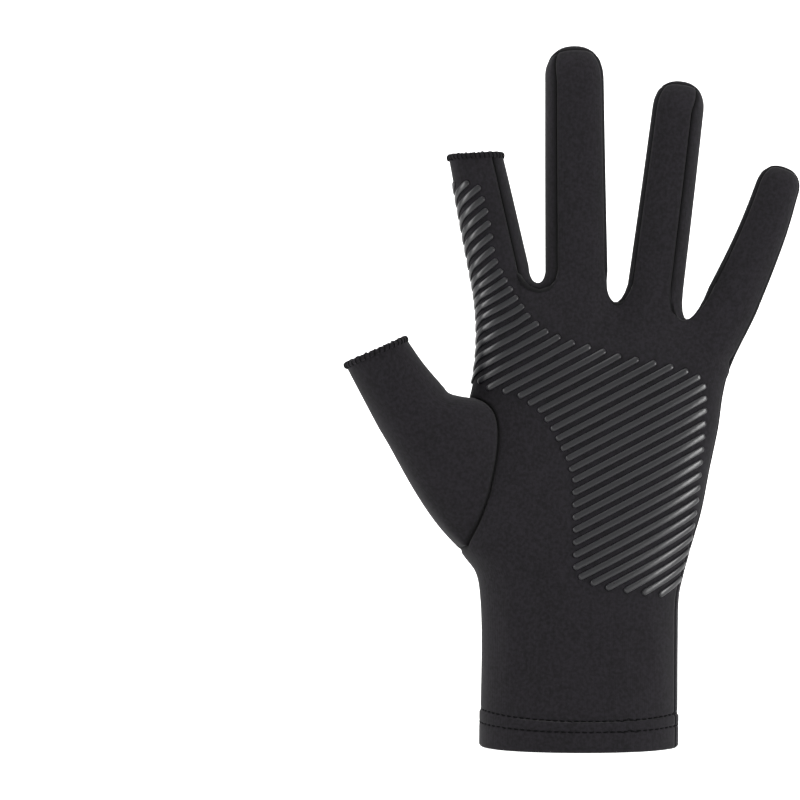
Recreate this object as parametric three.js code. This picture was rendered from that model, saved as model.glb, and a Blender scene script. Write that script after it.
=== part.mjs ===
// A thin stretch glove for fishing, for the left hand, in the shape it has when it is worn.
// x runs across the palm to the little finger, z up to the fingertips, and the palm faces -y.
// The origin is the centre of the wrist opening. All sizes are millimetres.

import * as THREE from 'three';

// Driving sizes
const PALM_WIDTH = 84;
const PALM_DEPTH = 29;
const PALM_HOLLOW = 1.6;
const CUFF_WIDTH = 65.6;
const CUFF_DEPTH = 43;
const BODY_LENGTH = 148; // wrist opening to the finger roots
const FINGER_LENGTH = 74.7; // the middle finger, from its root ring to its tip
const FINGER_WIDTH = 20;
const FINGER_DEPTH = 17.6;
const FINGER_CURL = 5; // how far the longest finger leans to the palm at its tip
const THUMB_LENGTH = 66; // foot of the thumb seam to the thumb's open end
const THUMB_WIDTH = 21.8;
const THUMB_DEPTH = 19.4;
const WALL = 1.2;
const SEAM_GAP = 0.3; // between two pieces that are sewn together
const CUFF_HEM_HEIGHT = 14;
const CUFF_HEM_WALL = 2.2;
const TIP_HEM_HEIGHT = 2.4;
const TIP_HEM_WALL = 1.8;
const BAR_WIDTH = 1.8;
const BAR_HEIGHT = 0.6;
const BAR_PITCH = 4.1; // along the hand
const BAR_CLEARANCE = 0.6; // a straight bar over a faceted skin
const BAR_WRAP = 3.5; // how far the bars reach past the fold on to the back
const BAR_SLOPE = 0.52;

// Steps of the mesh
const FACE_STEPS = 4; // across the front or the back of a finger
const SIDE_STEPS = 2; // across the side of a finger, an even number
const WEB_STEPS = 3; // round the web between two fingers
const CUFF_ROWS = 5;
const THUMB_HOLE_ROWS = 9;
const KNUCKLE_ROWS = 4;
const CAP_ROWS = 3;
const THUMB_ROOT_ROWS = 5;
const THUMB_ROWS = 4;

// Sections of the body. up is a share of the body's length. The edges and depths are shares of half the
// cuff's or half the palm's size, whichever the row follows, and square is the exponent of the section.
const BODY = [
  { up: 0.00, follows: 'cuff', left: 1.000, right: 1.000, front: 1.000, back: 1.000, square: 2.15 },
  { up: 0.088, follows: 'cuff', left: 0.995, right: 1.005, front: 0.990, back: 0.990, square: 2.15 },
  { up: 0.240, follows: 'cuff', left: 0.985, right: 1.010, front: 0.955, back: 0.945, square: 2.15 },
  { up: 0.341, follows: 'cuff', left: 1.003, right: 1.022, front: 0.920, back: 0.865, square: 2.20 },
  { up: 0.392, follows: 'palm', left: 0.819, right: 0.838, front: 1.352, back: 1.228, square: 2.25 },
  { up: 0.443, follows: 'palm', left: 0.935, right: 0.886, front: 1.345, back: 1.180, square: 2.30 },
  { up: 0.524, follows: 'palm', left: 0.917, right: 0.968, front: 1.310, back: 1.103, square: 2.40 },
  { up: 0.625, follows: 'palm', left: 0.919, right: 1.038, front: 1.228, back: 1.020, square: 2.50 },
  { up: 0.716, follows: 'palm', left: 0.900, right: 1.105, front: 1.103, back: 0.966, square: 2.55 },
  { up: 0.787, follows: 'palm', left: 0.862, right: 1.140, front: 1.020, back: 0.938, square: 2.60 },
  { up: 0.838, follows: 'palm', left: 0.824, right: 1.180, front: 0.979, back: 0.910, square: 2.60 },
];
const BODY_TOP = 0.811; // where the body's sections end and the knuckles begin

// The fingers in order from the outer side of the palm. across is a share of the palm's width, up of the
// body's length, reach of the finger length, and root, tip and bow of the finger width. lean is in degrees,
// and level says how far an open end turns back from the lean to lie level.
// The four seam columns say how far in from the finger's side each seam lies, as a share of its half width.
const FINGERS = [
  { name: 'little', across: 0.617, up: 1.013, lean: 20.6, bow: 0.055, reach: 0.615, root: 0.90, tip: 0.69,
    level: 0, closed: true,
    frontOuter: 0.06, frontInner: 0.08, backInner: 0.35, backOuter: 0.03 },
  { name: 'ring', across: 0.3045, up: 1.033, lean: 6.9, bow: 0.01, reach: 0.920, root: 0.93, tip: 0.84,
    level: 0, closed: true,
    frontOuter: 0.50, frontInner: 0.10, backInner: 0.50, backOuter: 0.05 },
  { name: 'middle', across: -0.009, up: 1.068, lean: -0.8, bow: 0, reach: 1.000, root: 1.04, tip: 0.965,
    level: 0, closed: true,
    frontOuter: 0.07, frontInner: 0.33, backInner: 0.10, backOuter: 0.25 },
  { name: 'index', across: -0.312, up: 1.068, lean: -12.0, bow: 0, reach: 0.525, root: 0.98, tip: 0.90,
    level: 0.8, closed: false,
    frontOuter: 0.41, frontInner: 0.26, backInner: 0.20, backOuter: 0.05 },
];
const FINGER_SQUARE = 2.3;
const FINGER_ROOT_Y = -1;
const CAP_SHARE = 0.6; // height of a closed tip, as a share of the finger width
const TIP_SEAM_SPREAD = 0.62; // how far the seam over a closed tip reaches to each side
const TIP_SEAM_FORWARD = 0.12;

// The webs, from the outer side. dip is the depth of the web below the root rings as a share of the finger
// width, and flare what the seams on both sides of it lie deeper.
const WEBS = [
  { name: 'fourchette_ring_little', dip: 0.530, flare: 0.115 },
  { name: 'fourchette_middle_ring', dip: 0.410, flare: 0.115 },
  { name: 'fourchette_index_middle', dip: 0.225, flare: 0.115 },
];

// The thumb seam. along is a share of the hole's height, front and back say how far in from the hand's edge
// the seam lies on each side, as shares of the palm's width.
const THUMB_HOLE_LOW = 0.443;
const THUMB_HOLE_TOP = 0.782;
const THUMB_FOOT_TILT = 0.03; // how much lower the seam's foot lies on the back, of the palm's width
const THUMB_SEAM = [
  { along: 0.00, front: 0.000, back: 0.000 },
  { along: 0.10, front: 0.036, back: 0.022 },
  { along: 0.22, front: 0.062, back: 0.020 },
  { along: 0.40, front: 0.106, back: 0.018 },
  { along: 0.60, front: 0.130, back: 0.019 },
  { along: 0.74, front: 0.132, back: 0.024 },
  { along: 0.84, front: 0.118, back: 0.034 },
  { along: 0.92, front: 0.086, back: 0.044 },
  { along: 0.97, front: 0.045, back: 0.030 },
  { along: 1.00, front: 0.000, back: 0.000 },
];

// Rings of the thumb. across and up are shares of the thumb's length, measured from the foot of its seam;
// lean is in degrees, width, depth and forward are shares of the thumb's width and depth.
const THUMB = [
  { along: 0.00, across: -0.267, up: 0.712, lean: -32, width: 1.17, depth: 1.30, forward: 0.46, square: 2.1 },
  { along: 0.50, across: -0.363, up: 0.856, lean: -27, width: 1.06, depth: 1.12, forward: 0.62, square: 2.1 },
  { along: 1.00, across: -0.447, up: 0.995, lean: -24, width: 1.00, depth: 1.00, forward: 0.72, square: 2.1 },
];
const THUMB_FOOT_X = -38;
const THUMB_SWELL = { foot: 0.22, top: 0.45 }; // how far the thumb swells out of its seam on its way up
const THUMB_CORNERS = { lowFront: 168, topFront: 25, topBack: -25, lowBack: -160 };

// Outline of the patch of bars in the palm view. across is a share of half the palm's width and up of the
// body's length. It passes the hand's edge on the thumb side, where the bars wrap round.
const BAR_OUTLINE = [
  { across: 0.82, up: 0.382 }, { across: 0.89, up: 0.468 }, { across: 0.95, up: 0.564 },
  { across: 1.00, up: 0.696 }, { across: 1.02, up: 0.767 }, { across: 1.01, up: 0.810 },
  { across: 0.96, up: 0.830 }, { across: 0.80, up: 0.851 }, { across: 0.55, up: 0.866 },
  { across: 0.32, up: 0.878 }, { across: 0.11, up: 0.897 }, { across: -0.11, up: 0.914 },
  { across: -0.27, up: 0.937 }, { across: -0.39, up: 0.967 }, { across: -0.49, up: 1.010 },
  { across: -0.58, up: 1.052 }, { across: -0.67, up: 1.102 }, { across: -0.70, up: 1.167 },
  { across: -0.74, up: 1.218 }, { across: -0.80, up: 1.266 }, { across: -1.40, up: 1.266 },
  { across: -1.40, up: 0.818 }, { across: -0.80, up: 0.818 }, { across: -0.73, up: 0.802 },
  { across: -0.51, up: 0.790 }, { across: -0.33, up: 0.752 }, { across: -0.23, up: 0.711 },
  { across: -0.10, up: 0.648 }, { across: -0.04, up: 0.600 }, { across: -0.035, up: 0.402 },
  { across: 0.02, up: 0.379 }, { across: 0.23, up: 0.360 }, { across: 0.50, up: 0.349 },
  { across: 0.73, up: 0.340 },
];
const PAST_FOLD = -1.3; // where the outline is read once a bar has passed the hand's edge
const BAR_LENGTH_MIN = 3.5;
const BAR_SEARCH_STEP = 0.3; // how finely a bar's course is followed
const BAR_STOP_SPACING = 0.8; // closest that two stops of a bar may lie
const BAR_SPAN_MAX = 14; // longest straight run of a bar
const BAR_TURN_START = 0.88; // where the levels begin to turn with the index finger, of its root's height

// Materials
const FABRIC = new THREE.MeshStandardMaterial({ color: '#28282b', roughness: 0.85, metalness: 0 });
const BINDING = new THREE.MeshStandardMaterial({ color: '#1d1d20', roughness: 0.9, metalness: 0 });
const SILICONE = new THREE.MeshStandardMaterial({ color: '#3a3a3f', roughness: 0.4, metalness: 0 });

const UP = new THREE.Vector3(0, 0, 1);

function point(x, y, z) {
  return new THREE.Vector3(x, y, z);
}

function radians(degrees) {
  return THREE.MathUtils.degToRad(degrees);
}

// Smooth value of a column of a table at a place along its key column.
function smoothValue(table, key, column, at) {
  const last = table.length - 1;
  let i = 0;
  while (i < last - 1 && at > table[i + 1][key]) i += 1;
  const slopeAt = (j) => {
    const a = table[Math.max(j - 1, 0)];
    const b = table[Math.min(j + 1, last)];
    return (b[column] - a[column]) / (b[key] - a[key]);
  };
  const span = table[i + 1][key] - table[i][key];
  const t = (at - table[i][key]) / span;
  const t2 = t * t;
  const t3 = t2 * t;
  return table[i][column] * (2 * t3 - 3 * t2 + 1) + slopeAt(i) * span * (t3 - 2 * t2 + t)
    + table[i + 1][column] * (3 * t2 - 2 * t3) + slopeAt(i + 1) * span * (t3 - t2);
}

function hermite(start, end, startPull, endPull, t) {
  const t2 = t * t;
  const t3 = t2 * t;
  return start.clone().multiplyScalar(2 * t3 - 3 * t2 + 1)
    .addScaledVector(startPull, t3 - 2 * t2 + t)
    .addScaledVector(end, 3 * t2 - 2 * t3)
    .addScaledVector(endPull, t3 - t2);
}

// Height of a superellipse of half sizes 1 at a place across it.
function arch(across, square) {
  return Math.pow(Math.max(1 - Math.pow(Math.abs(across), square), 0), 1 / square);
}

function signedPower(value, power) {
  return Math.sign(value) * Math.pow(Math.abs(value), power);
}

// Body sections in millimetres, worked out once from the table.
const HALF = {
  cuff: { across: CUFF_WIDTH / 2, deep: CUFF_DEPTH / 2 },
  palm: { across: PALM_WIDTH / 2, deep: PALM_DEPTH / 2 },
};
const SECTIONS = BODY.map((row) => ({
  z: row.up * BODY_LENGTH,
  left: -row.left * HALF[row.follows].across,
  right: row.right * HALF[row.follows].across,
  front: row.front * HALF[row.follows].deep,
  back: row.back * HALF[row.follows].deep,
  square: row.square,
}));

// A point of the body at a share of its width from the thumb side, on the front (-1) or the back (+1).
function bodyPoint(share, side, z) {
  const at = (column) => smoothValue(SECTIONS, 'z', column, z);
  const rise = arch(2 * share - 1, at('square'));
  const deep = side < 0 ? at('front') : at('back');
  const palmUp = (z / BODY_LENGTH - 0.62) / 0.16;
  const hollow = side < 0 ? PALM_HOLLOW * Math.exp(-palmUp * palmUp) * Math.pow(rise, 4) : 0;
  const left = at('left');
  return point(left + share * (at('right') - left), side * (deep * rise - hollow), z);
}

// The ring of a finger at a place along it: its centre and its three directions with their half sizes.
function fingerFrame(finger, along) {
  const lean = radians(finger.lean);
  const length = finger.reach * FINGER_LENGTH;
  const curl = FINGER_CURL * finger.reach * finger.reach;
  const centre = point(
    finger.across * PALM_WIDTH + Math.sin(lean) * along * length,
    FINGER_ROOT_Y - curl * along * along,
    finger.up * BODY_LENGTH + Math.cos(lean) * along * length,
  );
  const bow = finger.bow * FINGER_WIDTH * Math.sin(Math.PI * along);
  centre.add(point(Math.cos(lean) * bow, 0, -Math.sin(lean) * bow));
  const width = THREE.MathUtils.lerp(finger.root, finger.tip, along);
  const turned = lean * (1 - finger.level * Math.pow(along, 3));
  return {
    centre,
    across: point(Math.cos(turned), 0, -Math.sin(turned)),
    axis: point(Math.sin(turned), (-2 * curl * along) / length, Math.cos(turned)).normalize(),
    halfWidth: (width * FINGER_WIDTH) / 2,
    halfDepth: ((0.25 + 0.75 * width) * FINGER_DEPTH) / 2,
    square: FINGER_SQUARE,
  };
}

// A point of a ring. Angle 0 is the outer side, 90 the front, 180 the thumb side and 270 the back.
function ringPoint(frame, angle) {
  const across = signedPower(Math.cos(angle), 2 / frame.square) * frame.halfWidth;
  const deep = signedPower(Math.sin(angle), 2 / frame.square) * frame.halfDepth;
  return frame.centre.clone().addScaledVector(frame.across, across).add(point(0, -deep, 0));
}

// The angles of the columns round a finger, from its outer front seam over the front.
function fingerAngles(finger) {
  const seamAngle = (inset) => Math.acos(Math.pow(1 - inset, FINGER_SQUARE / 2));
  const corners = [
    seamAngle(finger.frontOuter),
    Math.PI - seamAngle(finger.frontInner),
    Math.PI + seamAngle(finger.backInner),
    2 * Math.PI - seamAngle(finger.backOuter),
    2 * Math.PI + seamAngle(finger.frontOuter),
  ];
  const steps = [FACE_STEPS, SIDE_STEPS, FACE_STEPS, SIDE_STEPS];
  const angles = [corners[0]];
  steps.forEach((count, i) => {
    for (let k = 1; k <= count; k += 1) {
      angles.push(THREE.MathUtils.lerp(corners[i], corners[i + 1], k / count));
    }
  });
  return angles;
}
const RING_CORNERS = [0, FACE_STEPS, FACE_STEPS + SIDE_STEPS, 2 * FACE_STEPS + SIDE_STEPS,
  2 * (FACE_STEPS + SIDE_STEPS)];
const [FRONT_OUTER, FRONT_INNER, BACK_INNER, BACK_OUTER, RING_END] = RING_CORNERS;

// A point of a closed tip: a direction from the cap's centre, carried out to the rounded form.
function capPoint(frame, capHeight, direction) {
  const share = [
    direction.dot(frame.across) / frame.halfWidth,
    direction.y / frame.halfDepth,
    direction.dot(frame.axis) / capHeight,
  ];
  const sum = share.reduce((total, part) => total + Math.pow(Math.abs(part), frame.square), 0);
  return frame.centre.clone().addScaledVector(direction, Math.pow(sum, -1 / frame.square));
}

// The grid of a finger: columns round it, rows up it. A closed finger has its cap rows on top, where the
// front and back columns meet in one seam and the side columns come together in its ends.
function fingerGrid(finger) {
  const angles = fingerAngles(finger);
  const length = finger.reach * FINGER_LENGTH;
  const capHeight = CAP_SHARE * FINGER_WIDTH * finger.tip;
  const tubeEnd = finger.closed ? 1 - capHeight / length : 1;
  const rows = Math.max(3, Math.round((length * tubeEnd) / 8));
  const grid = angles.map(() => []);
  for (let r = 0; r <= rows; r += 1) {
    const frame = fingerFrame(finger, (tubeEnd * r) / rows);
    angles.forEach((angle, k) => grid[k].push(ringPoint(frame, k === RING_END ? angles[0] : angle)));
  }
  if (!finger.closed) return { grid, rows, frame: fingerFrame(finger, 1) };
  const frame = fingerFrame(finger, tubeEnd);
  const tipSeam = (share) => {
    const across = (1 - 2 * share) * TIP_SEAM_SPREAD;
    return frame.axis.clone().multiplyScalar(capHeight * arch(across, frame.square))
      .addScaledVector(frame.across, across * frame.halfWidth)
      .add(point(0, -TIP_SEAM_FORWARD * frame.halfDepth * (1 - across * across), 0));
  };
  const tipShare = (k) => {
    if (k <= FRONT_INNER) return k / FACE_STEPS;
    if (k <= BACK_INNER) return 1;
    return Math.max(1 - (k - BACK_INNER) / FACE_STEPS, 0);
  };
  angles.forEach((angle, k) => {
    const from = grid[k][rows].clone().sub(frame.centre);
    const to = tipSeam(tipShare(k === RING_END ? 0 : k));
    for (let r = 1; r <= CAP_ROWS; r += 1) {
      const turn = (r / CAP_ROWS) * (Math.PI / 2);
      const direction = from.clone().multiplyScalar(Math.cos(turn)).addScaledVector(to, Math.sin(turn));
      grid[k].push(capPoint(frame, capHeight, direction));
    }
  });
  return { grid, rows: rows + CAP_ROWS, frame };
}

// The web between two fingers: each line runs from the inner finger's side down and up to the outer finger.
function webGrid(web, outer, inner) {
  const grid = [];
  for (let j = 0; j <= SIDE_STEPS; j += 1) {
    const start = inner.grid[RING_END - j][0];
    const end = outer.grid[FRONT_INNER + j][0];
    const sideways = (2 * j) / SIDE_STEPS - 1;
    const dip = (web.dip + web.flare * sideways * sideways) * FINGER_WIDTH;
    const line = [];
    for (let k = 0; k <= WEB_STEPS; k += 1) {
      line.push(hermite(start, end, inner.axis.clone().multiplyScalar(-4 * dip),
        outer.axis.clone().multiplyScalar(4 * dip), k / WEB_STEPS));
    }
    grid.push(line);
  }
  return grid;
}

// The columns of the body: over the palm from the outer seam to the thumb side, and back over the hand.
// Each ends on a finger's root ring or in a web, and keeps its share of the hand's width all the way down.
function bodyColumns(fingers, webs) {
  const columns = [];
  const add = (end, axis, front) => columns.push({ end, axis, side: front ? -1 : 1 });
  const addFinger = (finger, from, to) => {
    for (let k = from; k <= to; k += 1) {
      add(finger.grid[k][0], finger.axis, Math.sin(finger.angles[k]) > 1e-9);
    }
  };
  const webAxis = (side) => point(0, -0.45 * side, 0.9).normalize();
  fingers.forEach((finger, i) => {
    addFinger(finger, FRONT_OUTER, FRONT_INNER);
    for (let k = WEB_STEPS - 1; i < webs.length && k > 0; k -= 1) add(webs[i].grid[0][k], webAxis(-1), true);
  });
  const foldStart = columns.length - 1;
  const index = fingers[fingers.length - 1];
  addFinger(index, FRONT_INNER + 1, BACK_INNER - 1);
  for (let i = fingers.length - 1; i >= 0; i -= 1) {
    addFinger(fingers[i], BACK_INNER, BACK_OUTER);
    for (let k = 1; i > 0 && k < WEB_STEPS; k += 1) add(webs[i - 1].grid[SIDE_STEPS][k], webAxis(1), false);
  }
  addFinger(fingers[0], BACK_OUTER + 1, RING_END);
  const edges = columns.map((column) => column.end.x);
  const left = Math.min(...edges);
  const right = Math.max(...edges);
  columns.forEach((column) => {
    column.share = (column.end.x - left) / (right - left);
  });
  columns[columns.length - 1].side = columns[0].side;
  return { columns, foldStart, foldEnd: foldStart + SIDE_STEPS };
}

// The share of the width where a column runs beside the thumb hole: the seam's own, or eased away from it.
function besideHole(body, c, z) {
  const along = (z / BODY_LENGTH - THUMB_HOLE_LOW) / (THUMB_HOLE_TOP - THUMB_HOLE_LOW);
  const { share, side } = body.columns[c];
  if (along <= 0 || along >= 1 || (c > body.foldStart && c < body.foldEnd)) return share;
  const edge = body.columns[side < 0 ? body.foldStart : body.foldEnd].share;
  const width = smoothValue(SECTIONS, 'z', 'right', z) - smoothValue(SECTIONS, 'z', 'left', z);
  const inset = (smoothValue(THUMB_SEAM, 'along', side < 0 ? 'front' : 'back', along) * PALM_WIDTH) / width;
  return share + inset * Math.pow((1 - share) / (1 - edge), 3);
}

function bodyRows() {
  const low = THUMB_HOLE_LOW * BODY_LENGTH;
  const top = THUMB_HOLE_TOP * BODY_LENGTH;
  const rows = [];
  for (let r = 0; r < CUFF_ROWS; r += 1) rows.push(THREE.MathUtils.lerp(CUFF_HEM_HEIGHT, low, r / CUFF_ROWS));
  for (let r = 0; r <= THUMB_HOLE_ROWS; r += 1) {
    rows.push(THREE.MathUtils.lerp(low, top, (1 - Math.cos((Math.PI * r) / THUMB_HOLE_ROWS)) / 2));
  }
  rows.push(BODY_TOP * BODY_LENGTH);
  return rows;
}

// The rows at the foot of the thumb seam lie higher on the palm's side than on the back.
function footTilt(place, share) {
  const away = (place.z / BODY_LENGTH - THUMB_HOLE_LOW) / 0.055;
  const fade = Math.pow(1 - share, 10) * Math.exp(-away * away);
  const deep = place.y / (PALM_DEPTH / 2);
  return place.setZ(place.z - THUMB_FOOT_TILT * PALM_WIDTH * deep * fade);
}

function bodyGrid(body) {
  const rows = bodyRows();
  const topZ = rows[rows.length - 1];
  return body.columns.map((column, c) => {
    const line = rows.map((z) => footTilt(bodyPoint(besideHole(body, c, z), column.side, z), column.share));
    const start = line[line.length - 1];
    const below = bodyPoint(column.share, column.side, topZ - BODY_LENGTH * 0.02);
    const reach = start.distanceTo(column.end);
    const startPull = start.clone().sub(below).setLength(reach);
    const endPull = column.axis.clone().multiplyScalar(reach);
    for (let r = 1; r <= KNUCKLE_ROWS; r += 1) {
      line.push(hermite(start, column.end, startPull, endPull, r / KNUCKLE_ROWS));
    }
    return line;
  });
}

// The edge of the thumb hole, once round: up the palm's side, over the fold, down the back, under the fold.
// Each point carries the way out of the cloth and the angle that it meets on the thumb's rings.
function thumbEdge(body, grid) {
  const low = CUFF_ROWS;
  const top = CUFF_ROWS + THUMB_HOLE_ROWS;
  const edge = [];
  const addSide = (fromColumn, fromRow, toColumn, toRow, fromCorner, toCorner) => {
    const steps = Math.abs(toColumn - fromColumn) + Math.abs(toRow - fromRow);
    for (let i = 0; i < steps; i += 1) {
      const column = fromColumn + Math.sign(toColumn - fromColumn) * i;
      const row = fromRow + Math.sign(toRow - fromRow) * i;
      const across = grid[column + (column === body.foldStart ? 0 : 1)][row].clone()
        .sub(grid[column - (column === body.foldEnd ? 0 : 1)][row]);
      const up = grid[column][row + (row === low ? 0 : 1)].clone().sub(grid[column][row - 1]);
      edge.push({
        at: grid[column][row],
        out: up.cross(across).normalize(),
        angle: radians(THREE.MathUtils.lerp(fromCorner, toCorner, i / steps)),
      });
    }
  };
  const { lowFront, topFront, topBack, lowBack } = THUMB_CORNERS;
  addSide(body.foldStart, low, body.foldStart, top, lowFront, topFront);
  addSide(body.foldStart, top, body.foldEnd, top, topFront, topBack);
  addSide(body.foldEnd, top, body.foldEnd, low, topBack, lowBack);
  addSide(body.foldEnd, low, body.foldStart, low, lowBack, lowFront - 360);
  return edge;
}

function thumbFrame(along) {
  const at = (column) => smoothValue(THUMB, 'along', column, along);
  const lean = radians(at('lean'));
  return {
    centre: point(
      THUMB_FOOT_X + at('across') * THUMB_LENGTH,
      -at('forward') * THUMB_DEPTH,
      THUMB_HOLE_LOW * BODY_LENGTH + at('up') * THUMB_LENGTH,
    ),
    across: point(Math.cos(lean), 0, -Math.sin(lean)),
    axis: point(Math.sin(lean), -0.12, Math.cos(lean)).normalize(),
    halfWidth: (at('width') * THUMB_WIDTH) / 2,
    halfDepth: (at('depth') * THUMB_DEPTH) / 2,
    square: at('square'),
  };
}

// The thumb: from each point of the seam in one swelling sweep to the first ring, and on along the rings.
function thumbGrid(edge) {
  const first = thumbFrame(0);
  return edge.map((place) => {
    const target = ringPoint(first, place.angle);
    const toRing = target.clone().sub(place.at);
    const reach = toRing.length();
    const up = (place.at.z / BODY_LENGTH - THUMB_HOLE_LOW) / (THUMB_HOLE_TOP - THUMB_HOLE_LOW);
    const swell = THREE.MathUtils.lerp(THUMB_SWELL.foot, THUMB_SWELL.top, up);
    const startPull = toRing.clone().addScaledVector(place.out, swell * reach);
    const endPull = first.axis.clone().multiplyScalar(reach * 0.8);
    const line = [];
    for (let r = 0; r < THUMB_ROOT_ROWS; r += 1) {
      line.push(hermite(place.at, target, startPull, endPull, r / THUMB_ROOT_ROWS));
    }
    for (let r = 0; r <= THUMB_ROWS; r += 1) line.push(ringPoint(thumbFrame(r / THUMB_ROWS), place.angle));
    return line;
  });
}

// The skin: the glove's outer face as one set of points, with the faces of each piece under its name.
class Skin {
  constructor() {
    this.points = [];
    this.ids = new Map();
    this.pieces = new Map();
  }

  id(place) {
    const key = [place.x, place.y, place.z].map((value) => Math.round(value * 500)).join(' ');
    if (!this.ids.has(key)) {
      this.ids.set(key, this.points.length);
      this.points.push(place);
    }
    return this.ids.get(key);
  }

  addFace(piece, ...corners) {
    const ids = corners.map((corner) => this.id(corner));
    if (!this.pieces.has(piece)) this.pieces.set(piece, []);
    for (const [a, b, c] of [[0, 1, 2], [0, 2, 3]]) {
      const face = [ids[a], ids[b], ids[c]];
      if (new Set(face).size === 3) this.pieces.get(piece).push(face);
    }
  }

  normals() {
    const sums = this.points.map(() => point(0, 0, 0));
    for (const faces of this.pieces.values()) {
      for (const face of faces) {
        const [a, b, c] = face.map((i) => this.points[i]);
        const normal = b.clone().sub(a).cross(c.clone().sub(a));
        face.forEach((i) => sums[i].add(normal));
      }
    }
    return sums.map((sum) => sum.normalize());
  }
}

function buildSkin() {
  const skin = new Skin();
  const fingers = FINGERS.map((finger) => {
    const made = fingerGrid(finger);
    return { ...made, name: finger.name, angles: fingerAngles(finger), axis: fingerFrame(finger, 0).axis };
  });
  const webs = WEBS.map((web, i) => ({ name: web.name, grid: webGrid(web, fingers[i], fingers[i + 1]) }));
  const body = bodyColumns(fingers, webs);
  const grid = bodyGrid(body);
  const foldMiddle = body.foldStart + SIDE_STEPS / 2;
  const holeLow = CUFF_ROWS;
  const holeTop = CUFF_ROWS + THUMB_HOLE_ROWS;

  for (let c = 0; c < grid.length - 1; c += 1) {
    for (let r = 0; r < grid[c].length - 1; r += 1) {
      const inHole = c >= body.foldStart && c < body.foldEnd && r >= holeLow && r < holeTop;
      const piece = c < foldMiddle ? 'palm_panel' : 'back_panel';
      if (!inHole) skin.addFace(piece, grid[c][r], grid[c][r + 1], grid[c + 1][r + 1], grid[c + 1][r]);
    }
  }

  fingers.forEach((finger, i) => {
    const isIndex = i === fingers.length - 1;
    const pieceOf = (k) => {
      if (k < FRONT_INNER) return 'palm_panel';
      if (k < BACK_INNER && isIndex) return k < FRONT_INNER + SIDE_STEPS / 2 ? 'palm_panel' : 'back_panel';
      if (k < BACK_INNER) return webs[i].name;
      if (k < BACK_OUTER || i === 0) return 'back_panel';
      return webs[i - 1].name;
    };
    for (let k = 0; k < RING_END; k += 1) {
      for (let r = 0; r < finger.rows; r += 1) {
        skin.addFace(pieceOf(k), finger.grid[k][r], finger.grid[k][r + 1], finger.grid[k + 1][r + 1],
          finger.grid[k + 1][r]);
      }
    }
  });

  for (const web of webs) {
    for (let j = 0; j < SIDE_STEPS; j += 1) {
      const line = web.grid[j];
      const next = web.grid[j + 1];
      for (let k = 0; k < WEB_STEPS; k += 1) {
        skin.addFace(web.name, line[k], line[k + 1], next[k + 1], next[k]);
      }
    }
  }

  const thumb = thumbGrid(thumbEdge(body, grid));
  thumb.forEach((line, i) => {
    const next = thumb[(i + 1) % thumb.length];
    for (let r = 0; r < line.length - 1; r += 1) {
      skin.addFace('thumb_sleeve', line[r], next[r], next[r + 1], line[r + 1]);
    }
  });
  return { skin, fingers, body, grid, thumb };
}

function geometryOf(points, faces) {
  const geometry = new THREE.BufferGeometry();
  const values = points.flatMap((p) => [p.x, p.y, p.z]);
  geometry.setAttribute('position', new THREE.Float32BufferAttribute(values, 3));
  const volume = faces.reduce((sum, [a, b, c]) => sum + points[a].dot(points[b].clone().cross(points[c])), 0);
  geometry.setIndex(faces.flatMap(([a, b, c]) => (volume > 0 ? [a, b, c] : [a, c, b])));
  geometry.computeVertexNormals();
  return geometry;
}

// One piece of cloth: its faces of the skin, drawn back from its edges by half a seam gap, with a wall
// inwards. The wall's inner edge is drawn back further, so that the walls stay clear where a seam bends.
function clothPiece(skin, normals, piece) {
  const faces = skin.pieces.get(piece);
  const open = new Map();
  for (const face of faces) {
    face.forEach((from, i) => open.set(`${from} ${face[(i + 1) % 3]}`, [from, face[(i + 1) % 3]]));
  }
  const edges = [...open.values()].filter(([from, to]) => !open.has(`${to} ${from}`));
  const pull = new Map();
  for (const [from, to] of edges) {
    const direction = skin.points[to].clone().sub(skin.points[from]);
    for (const end of [from, to]) {
      const inward = normals[end].clone().cross(direction).normalize();
      if (!pull.has(end)) pull.set(end, []);
      pull.get(end).push(inward);
    }
  }
  const used = [...new Set(faces.flat())];
  const place = new Map(used.map((id, i) => [id, i]));
  const drawBack = (id, share) => {
    const moved = skin.points[id].clone();
    if (!pull.has(id)) return moved;
    const mean = pull.get(id).reduce((sum, way) => sum.add(way), point(0, 0, 0)).normalize();
    const spread = Math.max(mean.dot(pull.get(id)[0]), 0.5);
    return moved.addScaledVector(mean, (SEAM_GAP * share) / spread);
  };
  const outer = used.map((id) => drawBack(id, 0.5));
  const inner = used.map((id) => drawBack(id, 0.75).addScaledVector(normals[id], -WALL));
  const count = used.length;
  const solid = [];
  for (const face of faces) {
    const [a, b, c] = face.map((id) => place.get(id));
    solid.push([a, b, c], [c + count, b + count, a + count]);
  }
  for (const [from, to] of edges) {
    const a = place.get(from);
    const b = place.get(to);
    solid.push([b, a, a + count], [b, a + count, b + count]);
  }
  return geometryOf([...outer, ...inner], solid);
}

// A closed band round an opening. ringAt gives the cloth's outer line at a height, and the profile lists how
// far each corner of the band stands out from it and up along it.
function band(ringAt, axis, profile) {
  const points = [];
  for (const corner of profile) {
    const ring = ringAt(corner.up);
    ring.forEach((place, i) => {
      const along = ring[(i + 1) % ring.length].clone().sub(ring[(i + ring.length - 1) % ring.length]);
      points.push(place.clone().addScaledVector(axis.clone().cross(along).normalize(), corner.out));
    });
  }
  const count = points.length / profile.length;
  const faces = [];
  for (let j = 0; j < profile.length; j += 1) {
    const above = ((j + 1) % profile.length) * count;
    for (let i = 0; i < count; i += 1) {
      const next = (i + 1) % count;
      faces.push([j * count + i, j * count + next, above + next], [j * count + i, above + next, above + i]);
    }
  }
  return geometryOf(points, faces);
}

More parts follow.
